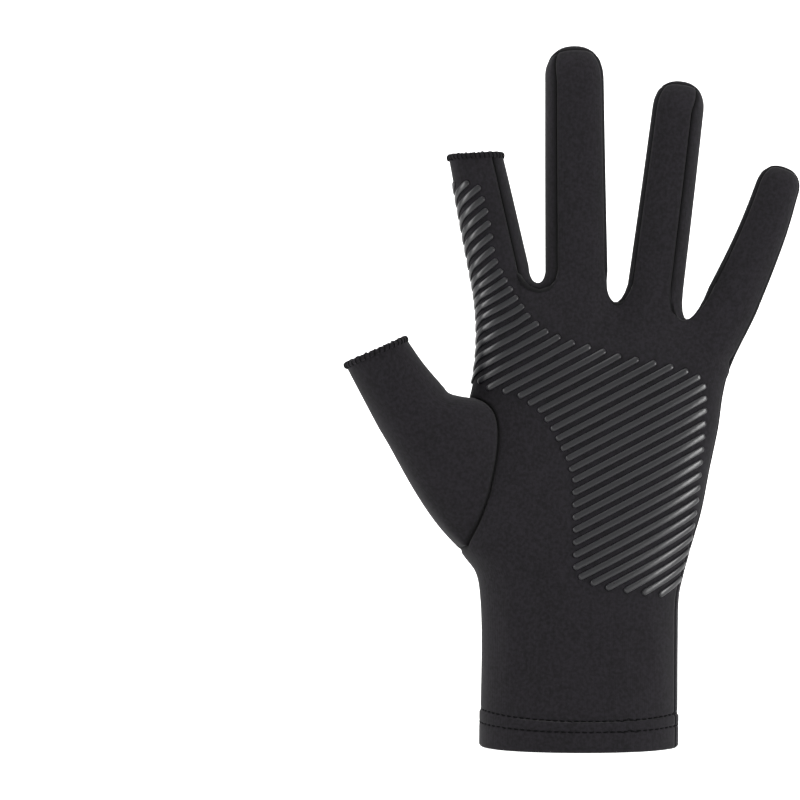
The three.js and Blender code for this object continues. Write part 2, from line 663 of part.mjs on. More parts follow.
function cuffHem(body) {
  const ringAt = (z) => body.columns.slice(0, -1).map((column) => bodyPoint(column.share, column.side, z));
  const round = CUFF_HEM_WALL * 0.35;
  return band(ringAt, UP, [
    { out: 0, up: CUFF_HEM_HEIGHT - SEAM_GAP / 2 },
    { out: 0, up: round },
    { out: -round, up: 0 },
    { out: round - CUFF_HEM_WALL, up: 0 },
    { out: -CUFF_HEM_WALL, up: round },
    { out: -CUFF_HEM_WALL, up: CUFF_HEM_HEIGHT - SEAM_GAP / 2 },
  ]);
}

// The rolled hem of an open tip, standing on the cloth's cut edge.
function tipHem(ring, axis) {
  const ringAt = (up) => ring.map((place) => place.clone().addScaledVector(axis, up));
  const out = (TIP_HEM_WALL - WALL) / 2;
  const round = TIP_HEM_WALL * 0.3;
  const foot = SEAM_GAP / 2;
  return band(ringAt, axis, [
    { out: out - round, up: foot },
    { out, up: foot + round },
    { out, up: foot + TIP_HEM_HEIGHT - round },
    { out: out - round, up: foot + TIP_HEM_HEIGHT },
    { out: out - TIP_HEM_WALL + round, up: foot + TIP_HEM_HEIGHT },
    { out: out - TIP_HEM_WALL, up: foot + TIP_HEM_HEIGHT - round },
    { out: out - TIP_HEM_WALL, up: foot + round },
    { out: out - TIP_HEM_WALL + round, up: foot },
  ]);
}

// The palm's cloth laid flat: v runs up the palm and the index finger, and u is the distance across, measured
// along the cloth from that line. Each column of the skin is cut where it crosses the level of v.
class FlatPalm {
  constructor({ fingers, body, grid }) {
    const index = fingers[fingers.length - 1];
    const last = body.foldEnd + FACE_STEPS;
    const firstIndex = body.foldStart - FACE_STEPS;
    this.lean = radians(FINGERS[FINGERS.length - 1].lean);
    this.root = index.grid[0][0].z;
    this.line = FINGERS[FINGERS.length - 1].across * PALM_WIDTH + 0.3 * index.frame.halfWidth;
    this.fold = body.foldStart + SIDE_STEPS / 2;
    this.columns = grid.slice(0, last + 1).map((column, c) => {
      const inFold = c > body.foldStart && c < body.foldEnd;
      const start = inFold ? CUFF_ROWS + THUMB_HOLE_ROWS : 0;
      const rest = c >= firstIndex ? index.grid[c - firstIndex].slice(1) : [];
      return [...column.slice(start), ...rest];
    });
    this.middle = firstIndex + 1;
  }

  // The line across the cloth at v: the places where it crosses the columns on both sides of the middle.
  across(v) {
    const turn = THREE.MathUtils.smoothstep(v, BAR_TURN_START * this.root, this.root) * this.lean;
    const mark = point(this.line + Math.max(v - this.root, 0) * Math.tan(this.lean), 0, v);
    const level = point(Math.sin(turn), 0, Math.cos(turn));
    const cut = (c) => {
      const column = this.columns[c];
      const height = (i) => column[i].clone().sub(mark).dot(level);
      for (let i = 0; i < column.length - 1; i += 1) {
        const below = height(i);
        const above = height(i + 1);
        if (below <= 0 && above > 0) {
          const up = column[i + 1].clone().sub(column[i]);
          const at = column[i].clone().addScaledVector(up, below / (below - above));
          return { column: c, row: i, at, up };
        }
      }
      return null;
    };
    const cuts = [cut(this.middle)];
    for (let c = this.middle - 1; c >= 0 && cuts[0]; c -= 1) cuts.unshift(cut(c));
    if (!cuts[0]) cuts.shift();
    for (let c = this.middle + 1; c < this.columns.length && cuts[cuts.length - 1]; c += 1) cuts.push(cut(c));
    if (!cuts[cuts.length - 1]) cuts.pop();
    return { cuts, mark };
  }

  locate(u, v) {
    const { cuts, mark } = this.across(v);
    if (cuts.length < 2) return null;
    const lengths = [0];
    cuts.slice(1).forEach((place, k) => lengths.push(lengths[k] + place.at.distanceTo(cuts[k].at)));
    let i = 0;
    while (i < cuts.length - 2 && cuts[i + 1].at.x > mark.x) i += 1;
    const passed = (cuts[i].at.x - mark.x) / (cuts[i].at.x - cuts[i + 1].at.x);
    const length = THREE.MathUtils.lerp(lengths[i], lengths[i + 1], passed) - u;
    if (length < 0 || length > lengths[lengths.length - 1]) return null;
    i = 0;
    while (i < cuts.length - 2 && lengths[i + 1] < length) i += 1;
    const t = (length - lengths[i]) / (lengths[i + 1] - lengths[i]);
    const along = cuts[i + 1].at.clone().sub(cuts[i].at);
    const foldCut = cuts.findIndex((place) => place.column === this.fold);
    return {
      at: cuts[i].at.clone().addScaledVector(along, t),
      normal: cuts[i].up.clone().lerp(cuts[i + 1].up, t).cross(along).normalize(),
      cell: `${cuts[i].column} ${cuts[i].row}`,
      pastFold: foldCut < 0 ? -1 : length - lengths[foldCut],
    };
  }
}

function insideBarPatch({ at, pastFold }) {
  if (pastFold > BAR_WRAP) return false;
  const across = pastFold > 0 ? PAST_FOLD : at.x / (PALM_WIDTH / 2);
  const up = at.z / BODY_LENGTH;
  let inside = false;
  BAR_OUTLINE.forEach((a, i) => {
    const b = BAR_OUTLINE[(i + 1) % BAR_OUTLINE.length];
    if (a.up > up === b.up > up) return;
    const edge = a.across + ((up - a.up) / (b.up - a.up)) * (b.across - a.across);
    if (across < edge) inside = !inside;
  });
  return inside;
}

// The stops of one bar: its two ends, and each place where it passes from one face of the skin to the next.
function barStops(flat, start) {
  const reach = PALM_WIDTH;
  const stops = [];
  let last = null;
  for (let u = -reach / 2; u < reach; u += BAR_SEARCH_STEP) {
    const place = flat.locate(u, start + BAR_SLOPE * u);
    const inside = place !== null && insideBarPatch(place);
    if (inside && (last === null || place.cell !== last.cell)) {
      if (last !== null) place.normal.add(last.normal).normalize();
      stops.push(place);
    }
    if (!inside && last !== null) {
      stops.push(last);
      return stops;
    }
    last = inside ? place : null;
  }
  return stops;
}

// Where the cloth is nearly flat, a bar passes straight over the edges between its faces.
function thinOut(stops) {
  const kept = [stops[0]];
  const last = stops.length - 1;
  for (let i = 1; i < last; i += 1) {
    const before = kept[kept.length - 1];
    const chord = stops[i + 1].at.clone().sub(before.at);
    const t = stops[i].at.clone().sub(before.at).dot(chord) / chord.lengthSq();
    const rise = stops[i].at.clone().sub(before.at).addScaledVector(chord, -t).length();
    const far = stops[i].at.distanceTo(before.at);
    const room = Math.min(far, stops[i].at.distanceTo(stops[last].at)) > BAR_STOP_SPACING;
    if (room && (rise > BAR_CLEARANCE / 10 || far > BAR_SPAN_MAX)) kept.push(stops[i]);
  }
  kept.push(stops[last]);
  return kept;
}

function barSolid(stops) {
  const profile = [
    { across: -0.5, up: 0 },
    { across: 0.5, up: 0 },
    { across: 0.3, up: 1 },
    { across: -0.3, up: 1 },
  ];
  const points = [];
  stops.forEach((stop, i) => {
    const way = stops[Math.min(i + 1, stops.length - 1)].at.clone().sub(stops[Math.max(i - 1, 0)].at);
    const sideways = stop.normal.clone().cross(way).normalize();
    for (const corner of profile) {
      points.push(stop.at.clone()
        .addScaledVector(sideways, corner.across * BAR_WIDTH)
        .addScaledVector(stop.normal, BAR_CLEARANCE + corner.up * BAR_HEIGHT));
    }
  });
  const faces = [[0, 2, 1], [0, 3, 2]];
  for (let i = 0; i < stops.length - 1; i += 1) {
    for (let j = 0; j < 4; j += 1) {
      const a = 4 * i + j;
      const b = 4 * i + ((j + 1) % 4);
      faces.push([a, b, b + 4], [a, b + 4, a + 4]);
    }
  }
  const end = 4 * (stops.length - 1);
  faces.push([end, end + 1, end + 2], [end, end + 2, end + 3]);
  return geometryOf(points, faces);
}

function gripBars(made) {
  const flat = new FlatPalm(made);
  const bars = [];
  const highest = 1.5 * BODY_LENGTH;
  for (let start = BAR_PITCH; start < highest; start += BAR_PITCH) {
    const stops = barStops(flat, start);
    const length = stops.length > 1 ? stops[0].at.distanceTo(stops[stops.length - 1].at) : 0;
    if (length > BAR_LENGTH_MIN) bars.push(barSolid(thinOut(stops)));
  }
  return bars;
}

function mesh(name, geometry, material) {
  const made = new THREE.Mesh(geometry, material);
  made.name = name;
  return made;
}

const glove = new THREE.Group();
glove.name = 'fishing_glove';

const made = buildSkin();
const normals = made.skin.normals();
for (const piece of made.skin.pieces.keys()) {
  glove.add(mesh(piece, clothPiece(made.skin, normals, piece), FABRIC));
}
const indexFinger = made.fingers[made.fingers.length - 1];
const indexRing = indexFinger.grid.slice(0, RING_END).map((column) => column[column.length - 1]);
const thumbRing = made.thumb.map((line) => line[line.length - 1]);
glove.add(mesh('cuff_hem', cuffHem(made.body), BINDING));
glove.add(mesh('index_hem', tipHem(indexRing, indexFinger.frame.axis), BINDING));
glove.add(mesh('thumb_hem', tipHem(thumbRing, thumbFrame(1).axis), BINDING));
gripBars(made).forEach((bar, i) => {
  glove.add(mesh(`grip_bar_${String(i + 1).padStart(2, '0')}`, bar, SILICONE));
});

export default glove;
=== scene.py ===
"""A thin stretch fishing glove for the left hand, in its worn shape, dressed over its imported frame.

The glove's outer skin is laid out once, as fine grids that share their edges, and cut along its seams into
the cloth pieces that a glove maker sews together. Lengths are metres.
"""

import bisect
import math

import bmesh
import bpy
from bpy.props import FloatProperty, FloatVectorProperty, IntProperty, PointerProperty
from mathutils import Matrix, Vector
from mathutils.bvhtree import BVHTree
from mathutils.kdtree import KDTree


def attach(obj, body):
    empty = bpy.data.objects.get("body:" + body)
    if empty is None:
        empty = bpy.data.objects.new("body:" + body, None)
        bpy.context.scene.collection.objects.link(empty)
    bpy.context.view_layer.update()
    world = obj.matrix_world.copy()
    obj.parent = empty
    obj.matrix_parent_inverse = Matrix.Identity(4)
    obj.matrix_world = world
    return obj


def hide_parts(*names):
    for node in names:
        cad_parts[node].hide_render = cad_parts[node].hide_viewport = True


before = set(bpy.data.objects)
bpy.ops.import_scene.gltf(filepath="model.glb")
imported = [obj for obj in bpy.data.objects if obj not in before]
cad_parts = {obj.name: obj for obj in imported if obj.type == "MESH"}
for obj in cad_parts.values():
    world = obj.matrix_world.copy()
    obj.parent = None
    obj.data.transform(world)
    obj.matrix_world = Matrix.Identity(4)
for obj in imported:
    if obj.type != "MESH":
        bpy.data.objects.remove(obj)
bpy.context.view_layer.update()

bl_info = {
    "name": "Fishing Glove",
    "version": (1, 0, 0),
    "blender": (4, 5, 0),
    "location": "3D View > Sidebar > Glove",
    "description": "Builds a thin stretch fishing glove with open tips and raised grip bars",
    "category": "Add Mesh",
}

MM = 0.001

# Steps of the skin, about a millimetre each
FACE_STEPS = 16  # across the front or the back of a finger
SIDE_STEPS = 8  # across the side of a finger
WEB_STEPS = 9  # round the web between two fingers
FOLD_ROWS = 8  # round the fold at the end of the cuff
TURNED_ROWS = 9  # up the turned-in layer
CUFF_ROWS = 44
THUMB_HOLE_ROWS = 54
SHOULDER_ROWS = 4  # from the top of the thumb hole to the knuckles
KNUCKLE_ROWS = 32
CAP_ROWS = 11
FINGER_ROW = 1.15 * MM
THUMB_ROOT_ROWS = 34
THUMB_ROWS = 20
COLUMN_APART = 0.004  # least distance between two columns of the body, as a share of its width

FRONT_OUTER = 0
FRONT_INNER = FACE_STEPS
BACK_INNER = FACE_STEPS + SIDE_STEPS
BACK_OUTER = 2 * FACE_STEPS + SIDE_STEPS
RING_END = 2 * (FACE_STEPS + SIDE_STEPS)


def rows_of(names, *rows):
    """A table as a list of rows with named columns."""
    return [dict(zip(names.split(), row)) for row in rows]


# Sections of the body. up is a share of the body's length. The edges and depths are shares of half the cuff's
# or half the palm's size, whichever the row follows, and square is the exponent of the section.
BODY = rows_of(
    "up follows left right front back square",
    (0.000, "cuff", 1.000, 1.000, 1.000, 1.000, 2.15),
    (0.088, "cuff", 0.995, 1.005, 0.990, 0.990, 2.15),
    (0.240, "cuff", 0.985, 1.010, 0.955, 0.945, 2.15),
    (0.341, "cuff", 1.003, 1.022, 0.920, 0.865, 2.20),
    (0.392, "palm", 0.819, 0.838, 1.352, 1.228, 2.25),
    (0.443, "palm", 0.935, 0.886, 1.345, 1.180, 2.30),
    (0.524, "palm", 0.917, 0.968, 1.310, 1.103, 2.40),
    (0.625, "palm", 0.919, 1.038, 1.228, 1.020, 2.50),
    (0.716, "palm", 0.900, 1.105, 1.103, 0.966, 2.55),
    (0.787, "palm", 0.862, 1.140, 1.020, 0.938, 2.60),
    (0.838, "palm", 0.824, 1.180, 0.979, 0.910, 2.60),
)
BODY_TOP = 0.811  # where the body's sections end and the knuckles begin

# The hollow of the palm and the cuff's outer seam, in shares of the body's length and of the width
HOLLOW_UP, HOLLOW_REACH = 0.62, 0.16
CUFF_SEAM_IN = 0.0195  # how far the seam lies in from the cuff's edge
CUFF_SEAM_LOW, CUFF_SEAM_TOP = 0.3, 0.6  # between these it goes back to the edge
CUFF_SEAM_REACH = 0.12  # how far away its neighbours still come with it

# The upper stitched line of the cuff's hem, in millimetres above the cuff's end, across the hand.
HEM_LINE = rows_of(
    "across front back",
    (0.00, 12.6, 12.6),
    (0.15, 11.4, 11.4),
    (0.35, 10.6, 11.0),
    (0.60, 10.4, 11.0),
    (0.85, 10.9, 11.1),
    (1.00, 11.6, 11.6),
)
LOWER_STITCHES = 0.62  # where the lower stitched line lies on the way up to the upper one
CUFF_FOLD = 1.1 * MM  # radius of the fold at the cuff's end
HEM_SHARES = (
    *(0, 0.12, 0.22, 0.32, 0.42, 0.50, 0.55, 0.58, 0.60),
    *(LOWER_STITCHES, 0.64, 0.66, 0.69, 0.75, 0.83, 0.90, 0.945, 0.975, 1),
)
HEM_NEAR, HEM_NEAR_ROWS = 0.03, 4  # the close rows above the hem, and up to what share of the cuff they lie
HEM_STEP = 0.4 * MM  # how far the doubled hem stands out
HEM_STEP_REACH = 1.2 * MM  # and over what height it rises to that
STITCH_DENT = 0.3 * MM  # how far a stitched line draws the cloth in
STITCH_DENT_WIDTH = 0.5 * MM
LOWER_STITCH_ROW = HEM_SHARES.index(LOWER_STITCHES)
HEM_ROWS = len(HEM_SHARES) - 1
HOLE_LOW_ROW = HEM_ROWS + CUFF_ROWS
HOLE_TOP_ROW = HOLE_LOW_ROW + THUMB_HOLE_ROWS

# The fingers in order from the outer side of the palm. across is a share of the palm's width, up of the
# body's length, reach of the finger length, and root, tip and bow of the finger width. lean is in degrees,
# and level says how far an open end turns back from it. The last four say how far in the seams lie.
FINGERS = rows_of(
    "name across up lean bow reach root tip level closed front_outer front_inner back_inner back_outer",
    ("little", 0.617, 1.013, 20.6, 0.055, 0.615, 0.90, 0.69, 0, True, 0.06, 0.08, 0.35, 0.03),
    ("ring", 0.3045, 1.033, 6.9, 0.01, 0.920, 0.93, 0.84, 0, True, 0.50, 0.10, 0.50, 0.05),
    ("middle", -0.009, 1.068, -0.8, 0, 1.000, 1.04, 0.965, 0, True, 0.07, 0.33, 0.10, 0.25),
    ("index", -0.312, 1.068, -12.0, 0, 0.525, 0.98, 0.90, 0.8, False, 0.41, 0.26, 0.20, 0.05),
)
FINGER_SQUARE = 2.3
FINGER_STEADY = 0.25  # how much of a finger's depth doesn't follow its width
FINGER_ROOT_Y = -1 * MM
CAP_SHARE = 0.6  # height of a closed tip, as a share of the finger width
TIP_SEAM_SPREAD = 0.62
TIP_SEAM_FORWARD = 0.40

# The webs, from the outer side: how deep each dips below the root rings, how much deeper at its two seams,
# and how far its lowest point leans outwards, as shares of the finger width.
WEBS = rows_of(
    "name dip flare lean",
    ("ring_little", 0.530, 0.115, 0.00),
    ("middle_ring", 0.392, 0.035, -0.065),
    ("index_middle", 0.232, 0.115, -0.045),
)

# The thumb seam: how far in from the hand's edge it lies on each side, as shares of the palm's width.
THUMB_HOLE_LOW = 0.443
THUMB_HOLE_TOP = 0.782
THUMB_FOOT_TILT = 0.03  # how much lower the cloth lies at the foot towards the back, of the palm's width
THUMB_FOOT_REACH = 0.055  # and how far up and down, of the body's length
WEB_FORWARD, WEB_UP = 0.45, 0.9  # the way that the hand's cloth runs up to a web's middle
THUMB_SEAM = rows_of(
    "along front back",
    (0.00, 0.000, 0.000),
    (0.10, 0.026, 0.022),
    (0.22, 0.046, 0.020),
    (0.40, 0.080, 0.018),
    (0.60, 0.102, 0.019),
    (0.74, 0.105, 0.024),
    (0.84, 0.096, 0.034),
    (0.92, 0.074, 0.044),
    (0.97, 0.041, 0.030),
    (1.00, 0.000, 0.000),
)
THUMB_HOLE_EVEN = 0.6  # how evenly the rows lie along the hole; the rest of them crowd to its two ends

# Rings of the thumb: places are shares of the thumb's length from the foot of its seam, lean is in degrees.
THUMB = rows_of(
    "along across up lean width depth forward square",
    (0.00, -0.267, 0.712, -32, 1.17, 1.30, 0.46, 2.1),
    (0.50, -0.363, 0.856, -27, 1.06, 1.12, 0.62, 2.1),
    (1.00, -0.447, 0.995, -24, 1.00, 1.00, 0.72, 2.1),
)
THUMB_FOOT_X = -38 * MM
THUMB_FORWARD = 0.12  # how far the thumb leans to the palm
THUMB_SWELL_FOOT, THUMB_SWELL_TOP = 0.28, 0.45  # how far it swells out past its seam
THUMB_PULL = 0.8  # how far the sweep from the seam arrives along the thumb
THUMB_CORNERS = {"low_front": 168, "top_front": 25, "top_back": -25, "low_back": -160}

# Outline of the patch of bars in the palm view: across in shares of half the palm's width, up of the body.
BAR_OUTLINE = (
    (0.82, 0.382), (0.88, 0.468), (0.93, 0.564), (0.975, 0.696), (0.995, 0.767), (0.99, 0.810),
    (0.96, 0.830), (0.80, 0.851), (0.55, 0.866), (0.32, 0.878), (0.11, 0.897), (-0.11, 0.914),
    (-0.27, 0.937), (-0.39, 0.967), (-0.49, 1.010), (-0.58, 1.052), (-0.67, 1.102), (-0.70, 1.167),
    (-0.74, 1.218), (-0.80, 1.266), (-1.40, 1.266), (-1.40, 0.818), (-0.80, 0.818), (-0.73, 0.802),
    (-0.51, 0.790), (-0.33, 0.752), (-0.23, 0.711), (-0.12, 0.648), (-0.07, 0.600), (-0.065, 0.402),
    (-0.01, 0.379), (0.20, 0.361), (0.50, 0.349), (0.73, 0.340),
)
PAST_FOLD = -1.3  # where the outline is read once a bar has passed the hand's edge
BAR_LENGTH_MIN = 3.5 * MM
BAR_STEP = 0.6 * MM  # from ring to ring along a bar
BAR_SUNK = 0.12 * MM  # how deep a bar's foot lies in the cloth
BAR_SHOULDER = 0.55  # exponent of a bar's section: 1 is round, less is flatter with rounded shoulders
BAR_END_RISE = 0.7  # exponent of a bar's height over its round ends
BAR_ENDS = (0, 0.08, 0.2, 0.4, 0.65)  # the rings of a bar's round end, in shares of half its width
BAR_TURN_START = 0.88  # where the bars begin to turn with the index finger, of its root's height
LEVEL_STEP = 1.5 * MM  # between the levels on which the palm's cloth is measured
LEVEL_TOP = 1.5  # where they end, of the body's length

STITCH_PARTS = 4  # a stitch of the cuff takes three of these parts, and the gap after it the fourth
STITCH_WAVER = 0.13 * MM  # how far its two ends lie up and down
TACK_START, TACK_END = 12.5 * MM, 19.5 * MM  # where the hem's lines start and end, across the cuff's front
TACK_STEP = 0.55  # how far the second stitch lies along the first there
TACK_ASIDE, TACK_UNDER = 0.45 * MM, 0.1 * MM  # and how far above or below it, and under it
THREAD_SIDES = 6
RIM_STEP = 0.4 * MM

HEM_WAVE = 0.12 * MM  # how far a rolled hem wavers up and down
HEM_SIDES = 12
HEM_SQUARE = 0.7  # exponent of a rolled hem's section: 1 is round, and less is squarer
HEM_IN = 0.25  # how far its middle lies inside the cloth's rim, of its thickness
HEM_DOWN = 0.3 * MM  # and how far below the rim
OVERLOCK_STEPS = 12  # places in one loop of the thread
OVERLOCK_SIDES = 5
OVERLOCK_SUNK = 0.4  # where the wound thread's middle lies off the hem, of its radius

EASED_FROM, EASED_TO = 0.80, 1.15  # where the hand's cloth is eased, in shares of the body's length
EASED_LESS = 0.08  # how much shorter that gets at each end by the last round
EASE_ROUNDS = 32

SEAM_REACH = 2.5 * MM  # the cloth further away than this from a seam stays as it is
SEAM_CLEARANCE = 0.07 * MM  # how far each piece stays back from the seam's middle
SEAM_ROUND = 0.14 * MM  # from one row of points to the next, where the cloth rounds over into a seam
PUFF_AWAY, PUFF_REACH = 1.1 * MM, 0.6 * MM  # where the cloth stands up beside a seam
SHALLOW = 0.95  # how much of its depth the thumb seam loses at its two ends
FOOT_REACH, CROTCH_REACH = 4 * MM, 8 * MM
SPIKE = 0.1 * MM  # a point this far off the skin is a fold of the inset at a sharp corner
SPIKE_REACH = 1 * MM  # how near a seam such folds are looked for
UNFOLD_ROUNDS = 5
# The darker line of a seam is partly its dark thread and partly painted shade in its groove
SHADE_FROM, SHADE_TO = 0.6, 1.5  # where the darker line of a seam fades out, of the seam's width
ALLOWANCE_DEEP = 1.35 * MM  # how far under the skin the sewn-up edges lie behind a seam
ALLOWANCE_THICK = 0.62 * MM
RIB_APART = 0.85 * MM  # the knit's ribs, drawn coarser than the 0.45 mm of the real cloth to show at all

# Soft folds of the worn cloth, in millimetres in the plane of the hand: from, to, how high, how wide
FOLDS = rows_of(
    "side start end high wide",
    ("front", (43.5, 131.0), (55.0, 126.0), -0.59, 1.6),
    ("front", (44.0, 127.5), (54.0, 122.0), 0.39, 2.2),
    ("front", (-23.0, 58.0), (-24.0, 16.0), 0.45, 2.6),
    ("front", (-17.0, 52.0), (-18.5, 22.0), -0.39, 2.6),
    ("front", (-26.0, 66.0), (-12.0, 60.0), 0.33, 2.4),
    ("front", (23.0, 42.0), (27.0, 18.0), 0.33, 3.0),
    ("back", (33.0, 56.0), (12.0, 32.0), 0.85, 2.2),
    ("back", (33.0, 50.0), (16.0, 28.0), -0.68, 2.2),
    ("back", (34.0, 66.0), (18.0, 52.0), 0.59, 2.6),
    ("back", (-30.0, 96.0), (-12.0, 84.0), 0.68, 2.4),
    ("back", (-31.0, 90.0), (-16.0, 74.0), 0.59, 2.4),
    ("back", (-32.0, 84.0), (-22.0, 66.0), -0.51, 2.4),
    ("back", (-9.0, 140.0), (-7.0, 118.0), -0.51, 2.2),
    ("back", (13.0, 134.0), (12.0, 114.0), -0.51, 2.2),
    ("back", (37.0, 128.0), (31.0, 110.0), -0.51, 2.2),
)
FOLD_FACING = 0.3  # a fold only moves the cloth that faces its way at least so much

# The backdrop in metres: a floor, which bends up into a wall behind the glove
FLOOR = -0.03
BACKDROP_HALF_WIDTH = 4.0
BACKDROP_LENGTH = 6.6
BACKDROP_FRONT = 2.6  # how far it reaches in front of the glove
BEND_START = 2.0  # how far behind the glove it bends up
BEND = 1.0

LIGHTS = rows_of(
    "name place aim size power",
    ("softbox_right", (0.85, -0.45, 0.10), (0, 0, 0.12), (0.45, 0.8), 14),
    ("softbox_left", (-0.95, -0.30, 0.30), (0, 0, 0.12), (0.45, 0.8), 8),
    ("softbox_above", (0.0, -0.35, 1.2), (0, 0, 0.12), (0.8, 0.5), 6),
    ("backdrop_light", (0.0, 1.3, 1.6), (0, 2.4, 0.4), (2.4, 0.6), 60),
)
SKY_STRENGTH = 0.8
CAMERA_PLACE = (-0.0595, -1.0, 0.1153)
CAMERA_LENS, CAMERA_SENSOR = 135, 36

# Labels of the skin's faces. The hem's faces carry those of the cloth that they are turned from, plus HEM.
PALM, BACK, FOLD, THUMB_CLOTH, FIRST_WEB, HOLE, HEM = 0, 1, 2, 3, 4, 9, 10
TRANK = {PALM, BACK, FOLD}
HEM_CLOTH = {label + HEM for label in TRANK}


def length(name, description, default, lowest=0.0):
    """A size that the sidebar offers, in metres."""
    return FloatProperty(
        name=name, description=description, default=default, min=lowest, subtype="DISTANCE", unit="LENGTH"
    )


def colour(name, description, default):
    """A colour that the sidebar offers, given as an sRGB hex value."""
    return FloatVectorProperty(
        name=name, description=description, default=linear(default), size=4, min=0, max=1, subtype="COLOR"
    )


def linear(hex_value):
    """An sRGB hex colour as the linear RGBA that Blender's sockets take."""
    parts = [int(hex_value[i : i + 2], 16) / 255 for i in (1, 3, 5)]
    return (*(c / 12.92 if c <= 0.04045 else ((c + 0.055) / 1.055) ** 2.4 for c in parts), 1.0)


class GloveSizes(bpy.types.PropertyGroup):
    """The glove's driving sizes."""

    palm_width: length("Palm width", "Across the palm at the knuckles", 84 * MM)
    palm_depth: length("Palm depth", "From the palm to the back of the hand", 29 * MM)
    palm_hollow: length("Palm hollow", "Depth of the hollow of the palm", 1.6 * MM)
    cuff_width: length("Cuff width", "Across the cuff at its end", 65.6 * MM)
    cuff_depth: length("Cuff depth", "From the front to the back of the cuff", 43 * MM)
    body_length: length("Body length", "From the cuff's end to the finger roots", 148 * MM)
    finger_length: length("Finger length", "The middle finger from its root to its tip", 74.7 * MM)
    finger_width: length("Finger width", "The fingers' common width", 20 * MM)
    finger_depth: length("Finger depth", "The fingers' common depth", 17.6 * MM)
    finger_curl: length("Finger curl", "How far the longest finger leans to the palm", 5 * MM)
    thumb_length: length("Thumb length", "From the foot of the thumb seam to the open end", 66 * MM)
    thumb_width: length("Thumb width", "Across the thumb's open end", 21.8 * MM)
    thumb_depth: length("Thumb depth", "Front to back of the thumb's open end", 19.4 * MM)


class ClothSizes(bpy.types.PropertyGroup):
    """Sizes of the cloth, its seams and its hems."""

    wall: length("Cloth", "Thickness of the knitted cloth", 0.8 * MM)
    seam_depth: length("Seam depth", "How deep a seam sinks into the cloth", 0.7 * MM)
    seam_width: length("Seam width", "How far from a seam the cloth rounds over into it", 0.42 * MM)
    seam_puff: length("Seam puff", "How far the cloth stands up beside a seam", 0.10 * MM)
    stitch_pitch: length("Stitch pitch", "From one stitch to the next", 2.3 * MM)
    thread: length("Thread", "Radius of the sewing thread", 0.25 * MM)


class BarSizes(bpy.types.PropertyGroup):
    """Sizes of the grip bars."""

    width: length("Bar width", "Across one bar", 2.1 * MM)
    height: length("Bar height", "How far a bar stands on the cloth", 0.75 * MM)
    pitch: length("Bar pitch", "From bar to bar along the hand", 4.1 * MM)
    wrap: length("Bar wrap", "How far the bars reach past the fold on to the back", 3.5 * MM)
    slope: FloatProperty(name="Bar slope", description="Rise of a bar over its run", default=0.52, min=0)
    sides: IntProperty(name="Bar sides", description="Faces over the crown of a bar", default=10, min=4)


class HemSizes(bpy.types.PropertyGroup):
    """Sizes of the rolled hems of the index finger and the thumb."""

    band_height: length("Band height", "Height of a rolled hem", 1.8 * MM)
    band_depth: length("Band depth", "Thickness of a rolled hem", 1.9 * MM)
    overlock: length("Overlock thread", "Radius of the thread wound over a rolled hem", 0.2 * MM)
    loops: IntProperty(name="Overlock loops", description="Turns of thread round one hem", default=38, min=8)


class Finishes(bpy.types.PropertyGroup):
    """Colours of the glove's materials."""

    cloth: colour("Cloth", "Dark grey knit", "#161418")
    cloth_deep: colour("Cloth, deep", "The knit's darker speckle", "#0a090b")
    thread: colour("Thread", "Sewing thread", "#070708")
    silicone: colour("Silicone", "Printed grip bars", "#0e0e11")
    floor: colour("Floor", "Floor and backdrop", "#fbfbfb")


def smooth_value(table, key, column, at):
    """The smooth value of a table's column at a place along its key column."""
    last = len(table) - 1
    i = 0
    while i < last - 1 and at > table[i + 1][key]:
        i += 1

    def slope(j):
        a, b = table[max(j - 1, 0)], table[min(j + 1, last)]
        return (b[column] - a[column]) / (b[key] - a[key])

    span = table[i + 1][key] - table[i][key]
    t = (at - table[i][key]) / span
    start, end = table[i][column], table[i + 1][column]
    return hermite(start, end, slope(i) * span, slope(i + 1) * span, t)


def hermite(start, end, start_pull, end_pull, t):
    """A point of the smooth curve between two places that leaves and arrives along the two pulls."""
    return (
        start * (2 * t**3 - 3 * t**2 + 1)
        + start_pull * (t**3 - 2 * t**2 + t)
        + end * (3 * t**2 - 2 * t**3)
        + end_pull * (t**3 - t**2)
    )


def mix(a, b, t):
    return a + (b - a) * t


def smooth_step(value, low, high):
    t = min(max((value - low) / (high - low), 0), 1)
    return t * t * (3 - 2 * t)


def arch(across, square):
    """Height of a superellipse of half sizes 1 at a place across it."""
    return max(1 - abs(across) ** square, 0) ** (1 / square)


def signed_power(value, power):
    return math.copysign(abs(value) ** power, value)


def bell(value, reach):
    """1 at the middle of a soft swelling, and fading out over its reach."""
    return math.exp(-((value / reach) ** 2))


def face_of(side):
    return "front" if side < 0 else "back"


def circle(centre, side, up, radius, sides):
    """The places of one ring of a cord."""
    angles = (2 * math.pi * k / sides for k in range(sides))
    return [centre + (side * math.cos(angle) + up * math.sin(angle)) * radius for angle in angles]


def lengths_along(line, start=0.0):
    """How far along its course each place lies."""
    reach = [start]
    for a, b in zip(line, line[1:]):
        reach.append(reach[-1] + (b - a).length)
    return reach


class Ring:
    """One ring of a finger or the thumb: its centre, its directions and its half sizes."""

    def __init__(self, centre, across, axis, half_width, half_depth, square):
        self.centre, self.across, self.axis = centre, across, axis
        self.half_width, self.half_depth, self.square = half_width, half_depth, square

    def point(self, angle):
        """Angle 0 is the outer side, 90 degrees the front, 180 the thumb side and 270 the back."""
        across = signed_power(math.cos(angle), 2 / self.square) * self.half_width
        deep = signed_power(math.sin(angle), 2 / self.square) * self.half_depth
        return self.centre + self.across * across - Vector((0, deep, 0))


